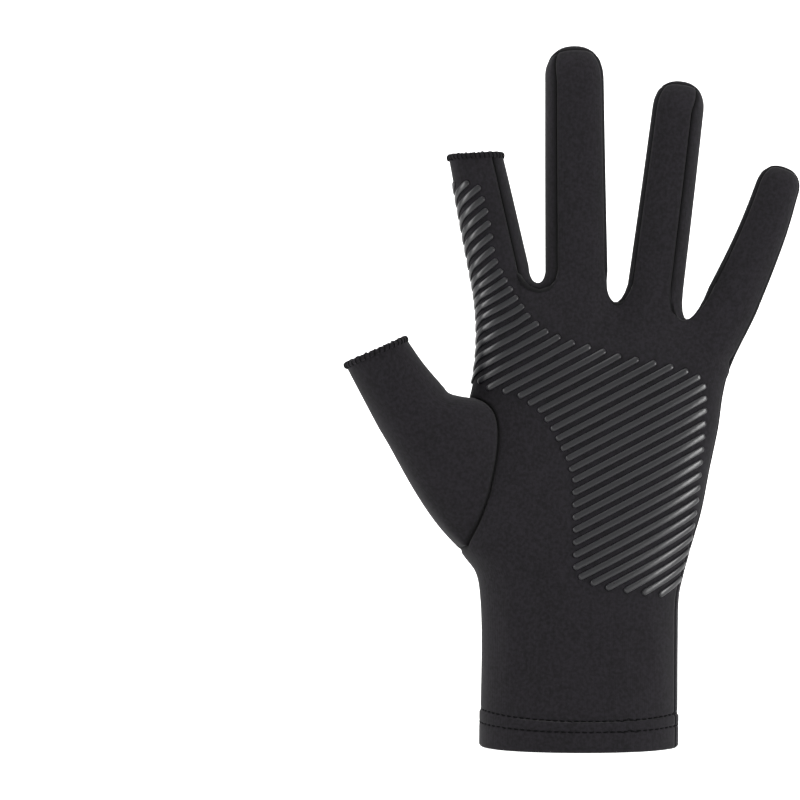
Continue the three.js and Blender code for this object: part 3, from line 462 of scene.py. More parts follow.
class Form:
    """The worn glove's outer form. Every point of it follows from the sizes and the tables."""

    def __init__(self, sizes):
        self.sizes = sizes
        half = {
            "cuff": (sizes.cuff_width / 2, sizes.cuff_depth / 2),
            "palm": (sizes.palm_width / 2, sizes.palm_depth / 2),
        }
        self.sections = []
        for row in BODY:
            across, deep = half[row["follows"]]
            self.sections.append(
                {
                    "z": row["up"] * sizes.body_length,
                    "left": -row["left"] * across,
                    "right": row["right"] * across,
                    "front": row["front"] * deep,
                    "back": row["back"] * deep,
                    "square": row["square"],
                }
            )
        self.fingers = [self.finger(row) for row in FINGERS]
        self.webs = [self.web(row, *self.fingers[i : i + 2]) for i, row in enumerate(WEBS)]
        self.set_columns()
        self.body = [self.body_column(c) for c in range(len(self.columns))]
        self.set_thumb()

    def section(self, column, z):
        return smooth_value(self.sections, "z", column, z)

    def body_point(self, share, side, z):
        """A point of the body at a share of its width, on the front (-1) or the back (+1)."""
        rise = arch(2 * share - 1, self.section("square", z))
        deep = self.section(face_of(side), z)
        palm_up = z / self.sizes.body_length - HOLLOW_UP
        hollow = self.sizes.palm_hollow * bell(palm_up, HOLLOW_REACH) * rise**4 if side < 0 else 0
        left = self.section("left", z)
        return Vector((left + share * (self.section("right", z) - left), side * (deep * rise - hollow), z))

    def finger_ring(self, row, along):
        sizes = self.sizes
        lean = math.radians(row["lean"])
        reach = row["reach"] * sizes.finger_length
        curl = sizes.finger_curl * row["reach"] ** 2
        bow = row["bow"] * sizes.finger_width * math.sin(math.pi * along)
        centre = Vector(
            (
                row["across"] * sizes.palm_width + math.sin(lean) * along * reach + math.cos(lean) * bow,
                FINGER_ROOT_Y - curl * along * along,
                row["up"] * sizes.body_length + math.cos(lean) * along * reach - math.sin(lean) * bow,
            )
        )
        width = mix(row["root"], row["tip"], along)
        turned = lean * (1 - row["level"] * along**3)
        return Ring(
            centre,
            Vector((math.cos(turned), 0, -math.sin(turned))),
            Vector((math.sin(turned), -2 * curl * along / reach, math.cos(turned))).normalized(),
            width * sizes.finger_width / 2,
            (FINGER_STEADY + (1 - FINGER_STEADY) * width) * sizes.finger_depth / 2,
            FINGER_SQUARE,
        )

    def finger(self, row):
        """A finger's grid: columns round it from its outer front seam, rows up it, and over a closed tip."""

        def seam_angle(inset):
            return math.acos((1 - inset) ** (FINGER_SQUARE / 2))

        corners = (
            seam_angle(row["front_outer"]),
            math.pi - seam_angle(row["front_inner"]),
            math.pi + seam_angle(row["back_inner"]),
            2 * math.pi - seam_angle(row["back_outer"]),
            2 * math.pi + seam_angle(row["front_outer"]),
        )
        angles = [corners[0]]
        for i, steps in enumerate((FACE_STEPS, SIDE_STEPS, FACE_STEPS, SIDE_STEPS)):
            angles += [mix(corners[i], corners[i + 1], k / steps) for k in range(1, steps + 1)]
        reach = row["reach"] * self.sizes.finger_length
        cap_height = CAP_SHARE * self.sizes.finger_width * row["tip"]
        tube_end = 1 - cap_height / reach if row["closed"] else 1
        rows = round(reach * tube_end / FINGER_ROW)
        grid = [[] for _ in angles]
        for r in range(rows + 1):
            ring = self.finger_ring(row, tube_end * r / rows)
            for k, angle in enumerate(angles):
                grid[k].append(ring.point(angles[0] if k == RING_END else angle))
        made = {"row": row, "grid": grid, "angles": angles, "axis": self.finger_ring(row, 0).axis}
        made["end"] = self.finger_ring(row, tube_end)
        if row["closed"]:
            self.close_tip(grid, made["end"], cap_height)
        return made

    def close_tip(self, grid, ring, cap_height):
        """The rows over a closed tip, where the front and the back columns meet in one seam."""
        for k, column in enumerate(grid):
            if k <= FRONT_INNER:
                share = k / FACE_STEPS
            elif k <= BACK_INNER:
                share = 1
            else:
                share = 0 if k == RING_END else max(1 - (k - BACK_INNER) / FACE_STEPS, 0)
            across = (1 - 2 * share) * TIP_SEAM_SPREAD
            seam = (
                ring.axis * (cap_height * arch(across, ring.square))
                + ring.across * (across * ring.half_width)
                - Vector((0, TIP_SEAM_FORWARD * ring.half_depth * (1 - across * across), 0))
            )
            start = column[-1] - ring.centre
            for r in range(1, CAP_ROWS + 1):
                turn = r / CAP_ROWS * math.pi / 2
                way = start * math.cos(turn) + seam * math.sin(turn)
                parts = (
                    way.dot(ring.across) / ring.half_width,
                    way.y / ring.half_depth,
                    way.dot(ring.axis) / cap_height,
                )
                total = sum(abs(part) ** ring.square for part in parts)
                column.append(ring.centre + way * total ** (-1 / ring.square))

    def web(self, row, outer, inner):
        """The web between two fingers: each line runs from the inner finger down and up to the outer one."""
        grid = []
        for j in range(SIDE_STEPS + 1):
            start = inner["grid"][RING_END - j][0]
            end = outer["grid"][FRONT_INNER + j][0]
            sideways = 2 * j / SIDE_STEPS - 1
            dip = (row["dip"] + row["flare"] * sideways**2) * self.sizes.finger_width
            lean = Vector((4 * row["lean"] * self.sizes.finger_width, 0, 0))
            pulls = (inner["axis"] * (-4 * dip) + lean, outer["axis"] * (4 * dip) - lean)
            grid.append([hermite(start, end, *pulls, k / WEB_STEPS) for k in range(WEB_STEPS + 1)])
        return {"row": row, "grid": grid}

    def set_columns(self):
        """The body's columns: over the palm from the outer seam to the thumb side, and back over the hand."""
        self.columns = []

        def add(end, axis, front):
            self.columns.append({"end": end, "axis": axis, "side": -1 if front else 1})

        def add_finger(finger, start, stop):
            for k in range(start, stop + 1):
                add(finger["grid"][k][0], finger["axis"], math.sin(finger["angles"][k]) > 1e-9)

        for i, finger in enumerate(self.fingers):
            add_finger(finger, FRONT_OUTER, FRONT_INNER)
            if i < len(self.webs):
                for k in range(WEB_STEPS - 1, 0, -1):
                    add(self.webs[i]["grid"][0][k], self.web_axis(i, k, WEB_FORWARD), True)
        self.fold_start = len(self.columns) - 1
        self.fold_end = self.fold_start + SIDE_STEPS
        self.fold_middle = self.fold_start + SIDE_STEPS // 2
        add_finger(self.fingers[-1], FRONT_INNER + 1, BACK_INNER - 1)
        for i in range(len(self.fingers) - 1, -1, -1):
            add_finger(self.fingers[i], BACK_INNER, BACK_OUTER)
            if i > 0:
                for k in range(1, WEB_STEPS):
                    add(self.webs[i - 1]["grid"][-1][k], self.web_axis(i - 1, k, -WEB_FORWARD), False)
        add_finger(self.fingers[0], BACK_OUTER + 1, RING_END)
        left = min(column["end"].x for column in self.columns)
        right = max(column["end"].x for column in self.columns)
        for column in self.columns:
            column["share"] = (column["end"].x - left) / (right - left)
        self.columns[-1]["side"] = self.columns[0]["side"]

        # A web leans under its finger, and the body's columns below it keep their order all the same
        def keep_apart(c, before):
            least = self.columns[before]["share"] - COLUMN_APART
            self.columns[c]["share"] = min(self.columns[c]["share"], least)

        for c in range(1, self.fold_start + 1):
            keep_apart(c, c - 1)
        for c in range(len(self.columns) - 2 - SIDE_STEPS, self.fold_end - 1, -1):
            keep_apart(c, c + 1)

    def web_axis(self, i, k, forward):
        """The way that the hand's cloth runs up to a web's edge: along each finger at its two ends."""
        t = k / WEB_STEPS
        along = mix(self.fingers[i + 1]["axis"], self.fingers[i]["axis"], t)
        return mix(along, Vector((0, forward, WEB_UP)), math.sin(math.pi * t)).normalized()

    def beside_hole(self, c, z):
        """The share of the width where a column runs beside the thumb hole."""
        share, side = self.columns[c]["share"], self.columns[c]["side"]
        along = (z / self.sizes.body_length - THUMB_HOLE_LOW) / (THUMB_HOLE_TOP - THUMB_HOLE_LOW)
        if along <= 0 or along >= 1 or self.fold_start < c < self.fold_end:
            return share
        edge = self.columns[self.fold_start if side < 0 else self.fold_end]["share"]
        width = self.section("right", z) - self.section("left", z)
        inset = smooth_value(THUMB_SEAM, "along", face_of(side), along)
        return share + inset * self.sizes.palm_width / width * ((1 - share) / (1 - edge)) ** 3

    def cloth_point(self, c, z):
        """A point of a column. On the cuff the outer seam comes to the front, its neighbours with it."""
        side = self.columns[c]["side"]
        past = side * (self.beside_hole(c, z) - 1)
        low = 1 - smooth_step(z / self.sizes.body_length, CUFF_SEAM_LOW, CUFF_SEAM_TOP)
        past += CUFF_SEAM_IN * low * bell(past, CUFF_SEAM_REACH)
        return self.body_point(1 - abs(past), -1 if past >= 0 else 1, z)

    def hem_line(self, c):
        share, side = self.columns[c]["share"], self.columns[c]["side"]
        return smooth_value(HEM_LINE, "across", face_of(side), share) * MM

    def body_heights(self, c):
        """The heights of a column's rows, which lie close together beside the hem's two stitched lines."""
        upper = self.hem_line(c)
        low, top = THUMB_HOLE_LOW * self.sizes.body_length, THUMB_HOLE_TOP * self.sizes.body_length
        heights = [mix(CUFF_FOLD, upper, share) for share in HEM_SHARES]
        for r in range(1, CUFF_ROWS + 1):
            past = (r - HEM_NEAR_ROWS) / (CUFF_ROWS - HEM_NEAR_ROWS)
            share = HEM_NEAR * r / HEM_NEAR_ROWS if past < 0 else mix(HEM_NEAR, 1, past)
            heights.append(mix(upper, low, share))
        for r in range(1, THUMB_HOLE_ROWS + 1):
            t = r / THUMB_HOLE_ROWS
            heights.append(mix(low, top, mix((1 - math.cos(math.pi * t)) / 2, t, THUMB_HOLE_EVEN)))
        body_top = BODY_TOP * self.sizes.body_length
        heights += [mix(top, body_top, r / SHOULDER_ROWS) for r in range(1, SHOULDER_ROWS + 1)]
        return heights

    def body_column(self, c):
        column = self.columns[c]
        line = []
        for z in self.body_heights(c):
            place = self.cloth_point(c, z)
            away = z / self.sizes.body_length - THUMB_HOLE_LOW
            fade = (1 - column["share"]) ** 10 * bell(away, THUMB_FOOT_REACH)
            place.z -= THUMB_FOOT_TILT * self.sizes.palm_width * place.y / (self.sizes.palm_depth / 2) * fade
            line.append(place + self.hem_relief(c, place))
        start, end = line[-1], column["end"]
        top = BODY_TOP * self.sizes.body_length
        below = self.body_point(column["share"], column["side"], top - self.sizes.body_length * 0.02)
        reach = (end - start).length
        start_pull = (start - below).normalized() * reach
        for r in range(1, KNUCKLE_ROWS + 1):
            line.append(hermite(start, end, start_pull, column["axis"] * reach, r / KNUCKLE_ROWS))
        return line

    def hem_relief(self, c, place):
        """How the doubled hem stands out below its upper stitched line, and how both lines draw it in."""
        upper = self.hem_line(c)
        if place.z > upper + 3 * STITCH_DENT_WIDTH:
            return Vector()
        half_width, half_depth = self.sizes.cuff_width / 2, self.sizes.cuff_depth / 2
        out = Vector((place.x / half_width**2, place.y / half_depth**2, 0)).normalized()
        rise = HEM_STEP * smooth_step(upper - place.z, 0, HEM_STEP_REACH)
        for line in (upper, mix(CUFF_FOLD, upper, LOWER_STITCHES)):
            rise -= STITCH_DENT * bell(place.z - line, STITCH_DENT_WIDTH)
        return out * rise

    def thumb_ring(self, along):
        def at(column):
            return smooth_value(THUMB, "along", column, along)

        sizes = self.sizes
        lean = math.radians(at("lean"))
        centre = Vector(
            (
                THUMB_FOOT_X + at("across") * sizes.thumb_length,
                -at("forward") * sizes.thumb_depth,
                THUMB_HOLE_LOW * sizes.body_length + at("up") * sizes.thumb_length,
            )
        )
        return Ring(
            centre,
            Vector((math.cos(lean), 0, -math.sin(lean))),
            Vector((math.sin(lean), -THUMB_FORWARD, math.cos(lean))).normalized(),
            at("width") * sizes.thumb_width / 2,
            at("depth") * sizes.thumb_depth / 2,
            at("square"),
        )

    def set_thumb(self):
        """The thumb: from its seam in one swelling sweep to its first ring, and up its rings."""
        low, top = HOLE_LOW_ROW, HOLE_TOP_ROW
        corners = THUMB_CORNERS
        edge = []

        def add_side(columns, rows, start, stop, crowded):
            steps = max(len(columns), len(rows)) - 1
            for i in range(steps):
                c = columns[min(i, len(columns) - 1)]
                r = rows[min(i, len(rows) - 1)]
                across = (
                    self.body[c + (c != self.fold_start)][r] - self.body[c - (c != self.fold_end)][r]
                )
                up = self.body[c][r + (r != low)] - self.body[c][r - 1]
                share = i / steps
                if crowded:
                    share = mix((1 - math.cos(math.pi * share)) / 2, share, THUMB_HOLE_EVEN)
                    share = math.acos(1 - 2 * share) / math.pi
                angle = math.radians(mix(start, stop, share))
                edge.append((self.body[c][r], up.cross(across).normalized(), angle))

        up_rows, down_rows = list(range(low, top + 1)), list(range(top, low - 1, -1))
        over = list(range(self.fold_start, self.fold_end + 1))
        add_side([self.fold_start], up_rows, corners["low_front"], corners["top_front"], True)
        add_side(over, [top], corners["top_front"], corners["top_back"], False)
        add_side([self.fold_end], down_rows, corners["top_back"], corners["low_back"], True)
        add_side(over[::-1], [low], corners["low_back"], corners["low_front"] - 360, False)

        first = self.thumb_ring(0)
        rings = [self.thumb_ring(r / THUMB_ROWS) for r in range(THUMB_ROWS + 1)]
        self.thumb = []
        for place, out, angle in edge:
            target = first.point(angle)
            to_ring = target - place
            reach = to_ring.length
            up = (place.z / self.sizes.body_length - THUMB_HOLE_LOW) / (THUMB_HOLE_TOP - THUMB_HOLE_LOW)
            swell = mix(THUMB_SWELL_FOOT, THUMB_SWELL_TOP, up)
            pulls = (to_ring + out * (swell * reach), first.axis * (reach * THUMB_PULL))
            line = [hermite(place, target, *pulls, r / THUMB_ROOT_ROWS) for r in range(THUMB_ROOT_ROWS)]
            self.thumb.append(line + [ring.point(angle) for ring in rings])


def add_patch(bm, grid, label_of, flip, uv_start=None):
    """One grid of the skin, warped from a flat one, with its labels and with its lengths as its UV map."""
    across, up = len(grid) - 1, len(grid[0]) - 1
    made = bmesh.ops.create_grid(bm, x_segments=across, y_segments=up, size=0.5)["verts"]
    label = bm.faces.layers.int["label"]
    uv = bm.loops.layers.uv["cloth"]
    widths = lengths_along([column[up // 2] for column in grid])
    starts = uv_start or [0.0] * len(grid)
    heights = [lengths_along(column, start) for column, start in zip(grid, starts)]
    places = {}
    for vert in made:
        places[vert] = (round((vert.co.x + 0.5) * across), round((vert.co.y + 0.5) * up))
    faces = {face for vert in made for face in vert.link_faces}
    for face in faces:
        cells = [places[vert] for vert in face.verts]
        face[label] = label_of(min(c for c, _ in cells), min(r for _, r in cells))
        for loop in face.loops:
            c, r = places[loop.vert]
            loop[uv].uv = (widths[c], heights[c][r])
    for vert, (c, r) in places.items():
        vert.co = grid[c][r]
    if flip:
        bmesh.ops.reverse_faces(bm, faces=list(faces))
    return heights


def turned_cuff(form):
    """The rows of the cuff below its first row: down the turned-in layer and round the fold at its end."""
    ring = [line[0] for line in form.body]
    count = len(ring) - 1
    grid = []
    for c in range(count + 1):
        out = (ring[(c - 1) % count] - ring[(c + 1) % count]).cross(Vector((0, 0, 1))).normalized()
        rise = form.hem_line(c) - 0.6 * MM
        line = []
        for r in range(TURNED_ROWS, 0, -1):
            line.append(ring[c] - out * (2 * CUFF_FOLD) + Vector((0, 0, rise * r / TURNED_ROWS)))
        for r in range(FOLD_ROWS, -1, -1):
            turn = math.pi * r / FOLD_ROWS
            inset = CUFF_FOLD * (1 - math.cos(turn))
            line.append(ring[c] - out * inset - Vector((0, 0, CUFF_FOLD * math.sin(turn))))
        grid.append(line)
    return grid


def build_skin(form):
    """The whole outer skin as one welded mesh, with a label on every face and a mark on every seam."""
    bm = bmesh.new()
    label = bm.faces.layers.int.new("label")
    bm.loops.layers.uv.new("cloth")
    seam = bm.edges.layers.int.new("seam")

    def body_label(c, r):
        if form.fold_start <= c < form.fold_end:
            side = HOLE if HOLE_LOW_ROW <= r < HOLE_TOP_ROW else FOLD
        else:
            side = PALM if c < form.fold_start else BACK
        return side + HEM if r < HEM_ROWS else side

    heights = add_patch(bm, form.body, body_label, True)
    add_patch(bm, turned_cuff(form), lambda c, _: body_label(c, 0), True)
    tops = {id(column["end"]): heights[c][-1] for c, column in enumerate(form.columns)}
    for i, finger in enumerate(form.fingers):
        inner = FIRST_WEB + i if i < len(form.webs) else FOLD
        outer = FIRST_WEB + i - 1 if i else BACK

        def finger_label(k, _, inner=inner, outer=outer):
            if k < FRONT_INNER:
                return PALM
            if k < BACK_INNER:
                return inner
            return BACK if k < BACK_OUTER else outer

        starts = [tops.get(id(column[0]), form.sizes.body_length) for column in finger["grid"]]
        add_patch(bm, finger["grid"], finger_label, True, starts)
    for i, web in enumerate(form.webs):
        add_patch(bm, web["grid"], lambda *_, i=i: FIRST_WEB + i, True)
    add_patch(bm, form.thumb + form.thumb[:1], lambda *_: THUMB_CLOTH, False)

    bmesh.ops.delete(bm, geom=[face for face in bm.faces if face[label] == HOLE], context="FACES")
    bmesh.ops.remove_doubles(bm, verts=bm.verts, dist=0.02 * MM)
    bmesh.ops.dissolve_degenerate(bm, dist=0.01 * MM, edges=bm.edges)
    for edge in bm.edges:
        sides = {face[label] % HEM for face in edge.link_faces}
        edge[seam] = int(len(sides) == 2 and (sides == {PALM, BACK} or not sides <= TRANK))
    ease_roots(bm, form)
    press_folds(bm)
    bm.normal_update()
    return bm


def ease_roots(bm, form):
    """Takes out the ridges that the finger roots leave in the hand's cloth, away from every seam."""
    seam, label = bm.edges.layers.int["seam"], bm.faces.layers.int["label"]

    def free(vert):
        hand = all(face[label] in (PALM, BACK) for face in vert.link_faces)
        return hand and not any(edge[seam] or edge.is_boundary for edge in vert.link_edges)

    loose = [vert for vert in bm.verts if free(vert)]
    for n in range(EASE_ROUNDS):
        # The eased part shrinks from round to round, so that it fades out at both ends
        fade = EASED_LESS * n / EASE_ROUNDS
        low, high = (share * form.sizes.body_length for share in (EASED_FROM + fade, EASED_TO - fade))
        some = [vert for vert in loose if low < vert.co.z < high]
        bmesh.ops.smooth_vert(bm, verts=some, factor=0.5, use_axis_x=True, use_axis_y=True, use_axis_z=True)


def press_folds(bm):
    """Raises and sinks the soft folds of the worn cloth."""
    label = bm.faces.layers.int["label"]
    bm.normal_update()
    rises = {}
    for vert in bm.verts:
        if not all(face[label] in (PALM, BACK) for face in vert.link_faces):
            continue
        for fold in FOLDS:
            facing = -vert.normal.y if fold["side"] == "front" else vert.normal.y
            if facing < FOLD_FACING:
                continue
            start, end = (Vector(place) * MM for place in (fold["start"], fold["end"]))
            run, place = end - start, Vector((vert.co.x, vert.co.z))
            along = min(max((place - start).dot(run) / run.length_squared, 0), 1)
            away = (place - start - run * along).length
            fade = math.sin(math.pi * (0.1 + 0.8 * along)) * bell(away, fold["wide"] * MM)
            rises[vert] = rises.get(vert, 0) + fold["high"] * MM * fade
    for vert, rise in rises.items():
        vert.co += vert.normal * rise


def key(place):
    """A place to the nearest micrometre, by which two pieces find the point that they share."""
    return tuple(round(value * 1e6) for value in place)


class Skin:
    """The welded skin, with what its pieces share: its normals, its seams and its open ends."""

    def __init__(self, form):
        self.bm = build_skin(form)
        seam = self.bm.edges.layers.int["seam"]
        self.normals = {key(vert.co): vert.normal.copy() for vert in self.bm.verts}
        self.ends = {key(vert.co) for edge in self.bm.edges if edge.is_boundary for vert in edge.verts}
        sewn = [edge for edge in self.bm.edges if edge[seam]]
        self.sewn = {key(vert.co) for edge in sewn for vert in edge.verts}
        samples = []
        for edge in sewn:
            a, b = (vert.co for vert in edge.verts)
            steps = max(1, math.ceil((b - a).length / (0.15 * MM)))
            samples += [mix(a, b, i / steps) for i in range(steps + 1)]
        self.seams = KDTree(len(samples))
        for i, place in enumerate(samples):
            self.seams.insert(place, i)
        self.seams.balance()
        self.surface = BVHTree.FromBMesh(self.bm)
        self.foot = form.body[form.fold_middle][HOLE_LOW_ROW]
        self.crotch = form.body[form.fold_middle][HOLE_TOP_ROW]

    def seam_runs(self):
        """The seams as runs of vertices, each from one end or meeting of seams to the next."""
        seam = self.bm.edges.layers.int["seam"]
        self.bm.edges.index_update()
        meetings = {v for v in self.bm.verts if sum(edge[seam] for edge in v.link_edges) not in (0, 2)}
        left = {edge.index: edge for edge in self.bm.edges if edge[seam]}
        runs = []
        while left:
            rest = list(left.values())
            edge = next((e for e in rest if meetings & set(e.verts)), rest[0])
            run = [next((v for v in edge.verts if v in meetings), edge.verts[0])]
            while edge:
                left.pop(edge.index)
                run.append(edge.other_vert(run[-1]))
                onward = [] if run[-1] in meetings else run[-1].link_edges
                edge = next((e for e in onward if e.index in left), None)
            runs.append(run)
        return runs

    def under(self, place):
        """The nearest point of the skin, and the way out from it."""
        spot, out, *_ = self.surface.find_nearest(place)
        return spot, out


def add_edge_rows(bm, skin):
    """Adds two rows of points along every edge of a piece, and lists the edges that are sewn up."""
    # The outer row is made last, because each inset narrows the strip that the one before it made
    for thickness in (2 * SEAM_ROUND, SEAM_ROUND):
        bmesh.ops.inset_region(
            bm, faces=bm.faces, thickness=thickness, use_boundary=True, use_even_offset=False
        )
    sewn = []
    for edge in bm.edges:
        keys = [key(vert.co) for vert in edge.verts]
        if edge.is_boundary and all(k in skin.sewn for k in keys) and not all(k in skin.ends for k in keys):
            sewn.append(edge)
    return sewn


def unfold(bm, skin):
    """Draws an inset flat again where it folded over itself, at the sharp turns of a seam."""
    beside = [vert for vert in bm.verts if skin.seams.find(vert.co)[2] < SPIKE_REACH]
    for vert in beside:
        spot, _ = skin.under(vert.co)
        if not vert.is_boundary and (spot - vert.co).length > SPIKE:
            vert.co = spot
    for _ in range(UNFOLD_ROUNDS):
        bm.normal_update()
        moved = {}
        for vert in beside:
            if any(face.normal.dot(skin.under(vert.co)[1]) < 0 for face in vert.link_faces):
                ring = [edge.other_vert(vert).co for edge in vert.link_edges]
                moved[vert] = sum(ring, Vector()) / len(ring)
        for vert, place in moved.items():
            vert.co = place


def seam_sink(skin, place, distance, cloth):
    """How far the cloth sinks in beside a seam. The thumb seam is shallow where it is seen lengthways."""
    depth = cloth.seam_depth * bell(distance, cloth.seam_width)
    for end, reach in ((skin.foot, FOOT_REACH), (skin.crotch, CROTCH_REACH)):
        depth *= 1 - SHALLOW * bell((place - end).length, reach)
    return depth - cloth.seam_puff * bell(distance - PUFF_AWAY, PUFF_REACH)


def sewn_piece(skin, labels, cloth):
    """One piece of the cloth: cut out of the skin and rounded over into its seams."""
    bm = skin.bm.copy()
    label, seam = bm.faces.layers.int["label"], bm.edges.layers.int["seam"]
    bmesh.ops.delete(bm, geom=[face for face in bm.faces if face[label] not in labels], context="FACES")
    bmesh.ops.split_edges(bm, edges=[edge for edge in bm.edges if edge[seam] and not edge.is_boundary])
    sewn = add_edge_rows(bm, skin)
    unfold(bm, skin)
    shade = bm.verts.layers.float.new("seam_shade")
    bm.normal_update()
    normals = {vert: skin.normals.get(key(vert.co), vert.normal).copy() for vert in bm.verts}
    sewn_verts = {vert for edge in sewn for vert in edge.verts}
    inward = {}
    for vert in sewn_verts:
        a, b = [edge.other_vert(vert).co for edge in vert.link_edges if edge.is_boundary][:2]
        way = normals[vert].cross(b - a).normalized()
        middle = sum((face.calc_center_median() for face in vert.link_faces), Vector()) / len(vert.link_faces)
        inward[vert] = way if way.dot(middle - vert.co) > 0 else -way
    for vert in bm.verts:
        distance = 0 if vert in sewn_verts else skin.seams.find(vert.co)[2]
        if distance < SEAM_REACH:
            vert.co -= normals[vert] * seam_sink(skin, vert.co, distance, cloth)
            # Painted shade in and beside the seam's groove, together with the dark thread showing through it:
            # 1 at the seam, fading out beside it
            low, high = SHADE_FROM * cloth.seam_width, SHADE_TO * cloth.seam_width
            vert[shade] = 1 - smooth_step(distance, low, high)
    for vert, way in inward.items():
        vert.co += way * SEAM_CLEARANCE
    return bm


class PalmCloth:
    """The palm's cloth laid flat: v runs up the palm and the index finger, and u across along the cloth."""

    def __init__(self, form, bars):
        index = form.fingers[-1]
        row = index["row"]
        first, last = form.fold_start - FACE_STEPS, form.fold_end + FACE_STEPS
        self.sizes, self.bars = form.sizes, bars
        self.lean = math.radians(row["lean"])
        self.root = index["grid"][0][0].z
        self.line = row["across"] * self.sizes.palm_width + 0.3 * index["end"].half_width
        self.middle = first + FACE_STEPS // 4
        self.fold = form.fold_middle
        self.columns = []
        for c in range(last + 1):
            start = HOLE_TOP_ROW if form.fold_start < c < form.fold_end else 0
            rest = index["grid"][c - first][1:] if c >= first else []
            self.columns.append(form.body[c][start:] + rest)
        self.levels = []
        for column in self.columns:
            highest = -1.0
            line = []
            for place in column:
                highest = max(highest, self.level_of(place))
                line.append(highest)
            self.levels.append(line)
        levels = int(LEVEL_TOP * self.sizes.body_length / LEVEL_STEP)
        self.across = [self.lengths_at(j * LEVEL_STEP) for j in range(levels)]

    def tilt(self, v):
        return smooth_step(v, BAR_TURN_START * self.root, self.root) * self.lean

    def mark(self, v):
        """Where the line that u is measured from stands at a level."""
        return Vector((self.line + max(v - self.root, 0) * math.tan(self.lean), 0, v))

    def level_of(self, place):
        """The level v that a place lies on, found by halving."""
        if place.z < BAR_TURN_START * self.root - 1 * MM:
            return place.z
        low, high = place.z - 30 * MM, place.z + 30 * MM
        for _ in range(20):
            v = (low + high) / 2
            turn = self.tilt(v)
            if (place - self.mark(v)).dot(Vector((math.sin(turn), 0, math.cos(turn)))) > 0:
                low = v
            else:
                high = v
        return (low + high) / 2

    def cut(self, c, v):
        levels = self.levels[c]
        i = bisect.bisect_right(levels, v) - 1
        if not 0 <= i < len(levels) - 1:
            return None
        t = (v - levels[i]) / max(levels[i + 1] - levels[i], 1e-9)
        return mix(self.columns[c][i], self.columns[c][i + 1], t)

    def lengths_at(self, v):
        """u of each column that the level v crosses."""
        cuts = {}
        for step in (-1, 1):
            c = self.middle if step < 0 else self.middle + 1
            while 0 <= c < len(self.columns) and (place := self.cut(c, v)) is not None:
                cuts[c] = place
                c += step
        order = sorted(cuts)
        if self.middle not in cuts or len(order) < 2:
            return {}
        mark = self.mark(v).x
        lengths, origin = {order[0]: 0.0}, None
        for a, b in zip(order, order[1:]):
            lengths[b] = lengths[a] + (cuts[b] - cuts[a]).length
            if origin is None and cuts[b].x <= mark:
                origin = mix(lengths[a], lengths[b], (cuts[a].x - mark) / (cuts[a].x - cuts[b].x))
        return {} if origin is None else {c: origin - lengths[c] for c in order}

    def u_at(self, c, v):
        j = int(v / LEVEL_STEP)
        if not 0 <= j < len(self.across) - 1:
            return None
        a, b = self.across[j].get(c), self.across[j + 1].get(c)
        return None if a is None or b is None else mix(a, b, v / LEVEL_STEP - j)

    def bar_lines(self):
        """The course of each bar over the cloth, as a list of places."""
        rises = []
        for c, levels in enumerate(self.levels):
            line = []
            for v in levels:
                u = self.u_at(c, v)
                line.append(None if u is None else v - self.bars.slope * u)
            rises.append(line)
        lines = []
        for number in range(1, int(LEVEL_TOP * self.sizes.body_length / self.bars.pitch)):
            last, run = None, []
            for c, line in enumerate(rises):
                stop = self.stop_on(c, line, number * self.bars.pitch)
                within = stop is not None and self.inside(stop)
                if last and stop and within != self.inside(last):
                    run.append(self.edge_between(last, stop))
                if within:
                    run.append(stop)
                elif run:
                    lines.append([place for place, _ in run])
                    run = []
                last = stop
            if run:
                lines.append([place for place, _ in run])
        return [line for line in lines if (line[0] - line[-1]).length > BAR_LENGTH_MIN]

    def stop_on(self, c, line, start):
        for i in range(len(line) - 1):
            low, high = line[i], line[i + 1]
            if low is not None and high is not None and low <= start < high:
                t = (start - low) / (high - low)
                place = mix(self.columns[c][i], self.columns[c][i + 1], t)
                v = mix(self.levels[c][i], self.levels[c][i + 1], t)
                fold, u = self.u_at(self.fold, v), self.u_at(c, v)
                return place, -1 if fold is None or u is None else fold - u
        return None

    def edge_between(self, a, b):
        """The stop where a bar's course passes the patch's outline, found by halving."""
        for _ in range(6):
            middle = (mix(a[0], b[0], 0.5), mix(a[1], b[1], 0.5))
            if self.inside(middle) == self.inside(a):
                a = middle
            else:
                b = middle
        return a

    def inside(self, stop):
        place, past_fold = stop
        if past_fold > self.bars.wrap:
            return False
        across = PAST_FOLD if past_fold > 0 else place.x / (self.sizes.palm_width / 2)
        up = place.z / self.sizes.body_length
        within = False
        for a, b in zip(BAR_OUTLINE, BAR_OUTLINE[1:] + BAR_OUTLINE[:1]):
            if (a[1] > up) != (b[1] > up) and across < mix(a[0], b[0], (up - a[1]) / (b[1] - a[1])):
                within = not within
        return within


def resample(line, step):
    """Places at even distances along a course."""
    reach = lengths_along(line)
    count = max(round(reach[-1] / step), 4)
    places, i = [], 0
    for n in range(count + 1):
        at = reach[-1] * n / count
        while i < len(reach) - 2 and reach[i + 1] < at:
            i += 1
        span = max(reach[i + 1] - reach[i], 1e-9)
        places.append(mix(line[i], line[i + 1], min((at - reach[i]) / span, 1)))
    return places


def evened(line, rounds):
    """A course with its corners taken off, its two ends kept."""
    for _ in range(rounds):
        line = [line[0], *((a + 2 * b + c) / 4 for a, b, c in zip(line, line[1:], line[2:])), line[-1]]
    return line


def add_tube(bm, rings, closed=False):
    """A skin over rings of places, as one warped grid. A closed one runs on from its last to its first."""
    around, rows = len(rings[0]), len(rings)
    spans = rows - 1 + closed
    for vert in bmesh.ops.create_grid(bm, x_segments=spans, y_segments=around, size=0.5)["verts"]:
        r = round((vert.co.x + 0.5) * spans) % rows
        k = round((vert.co.y + 0.5) * around) % around
        vert.co = rings[r][k]


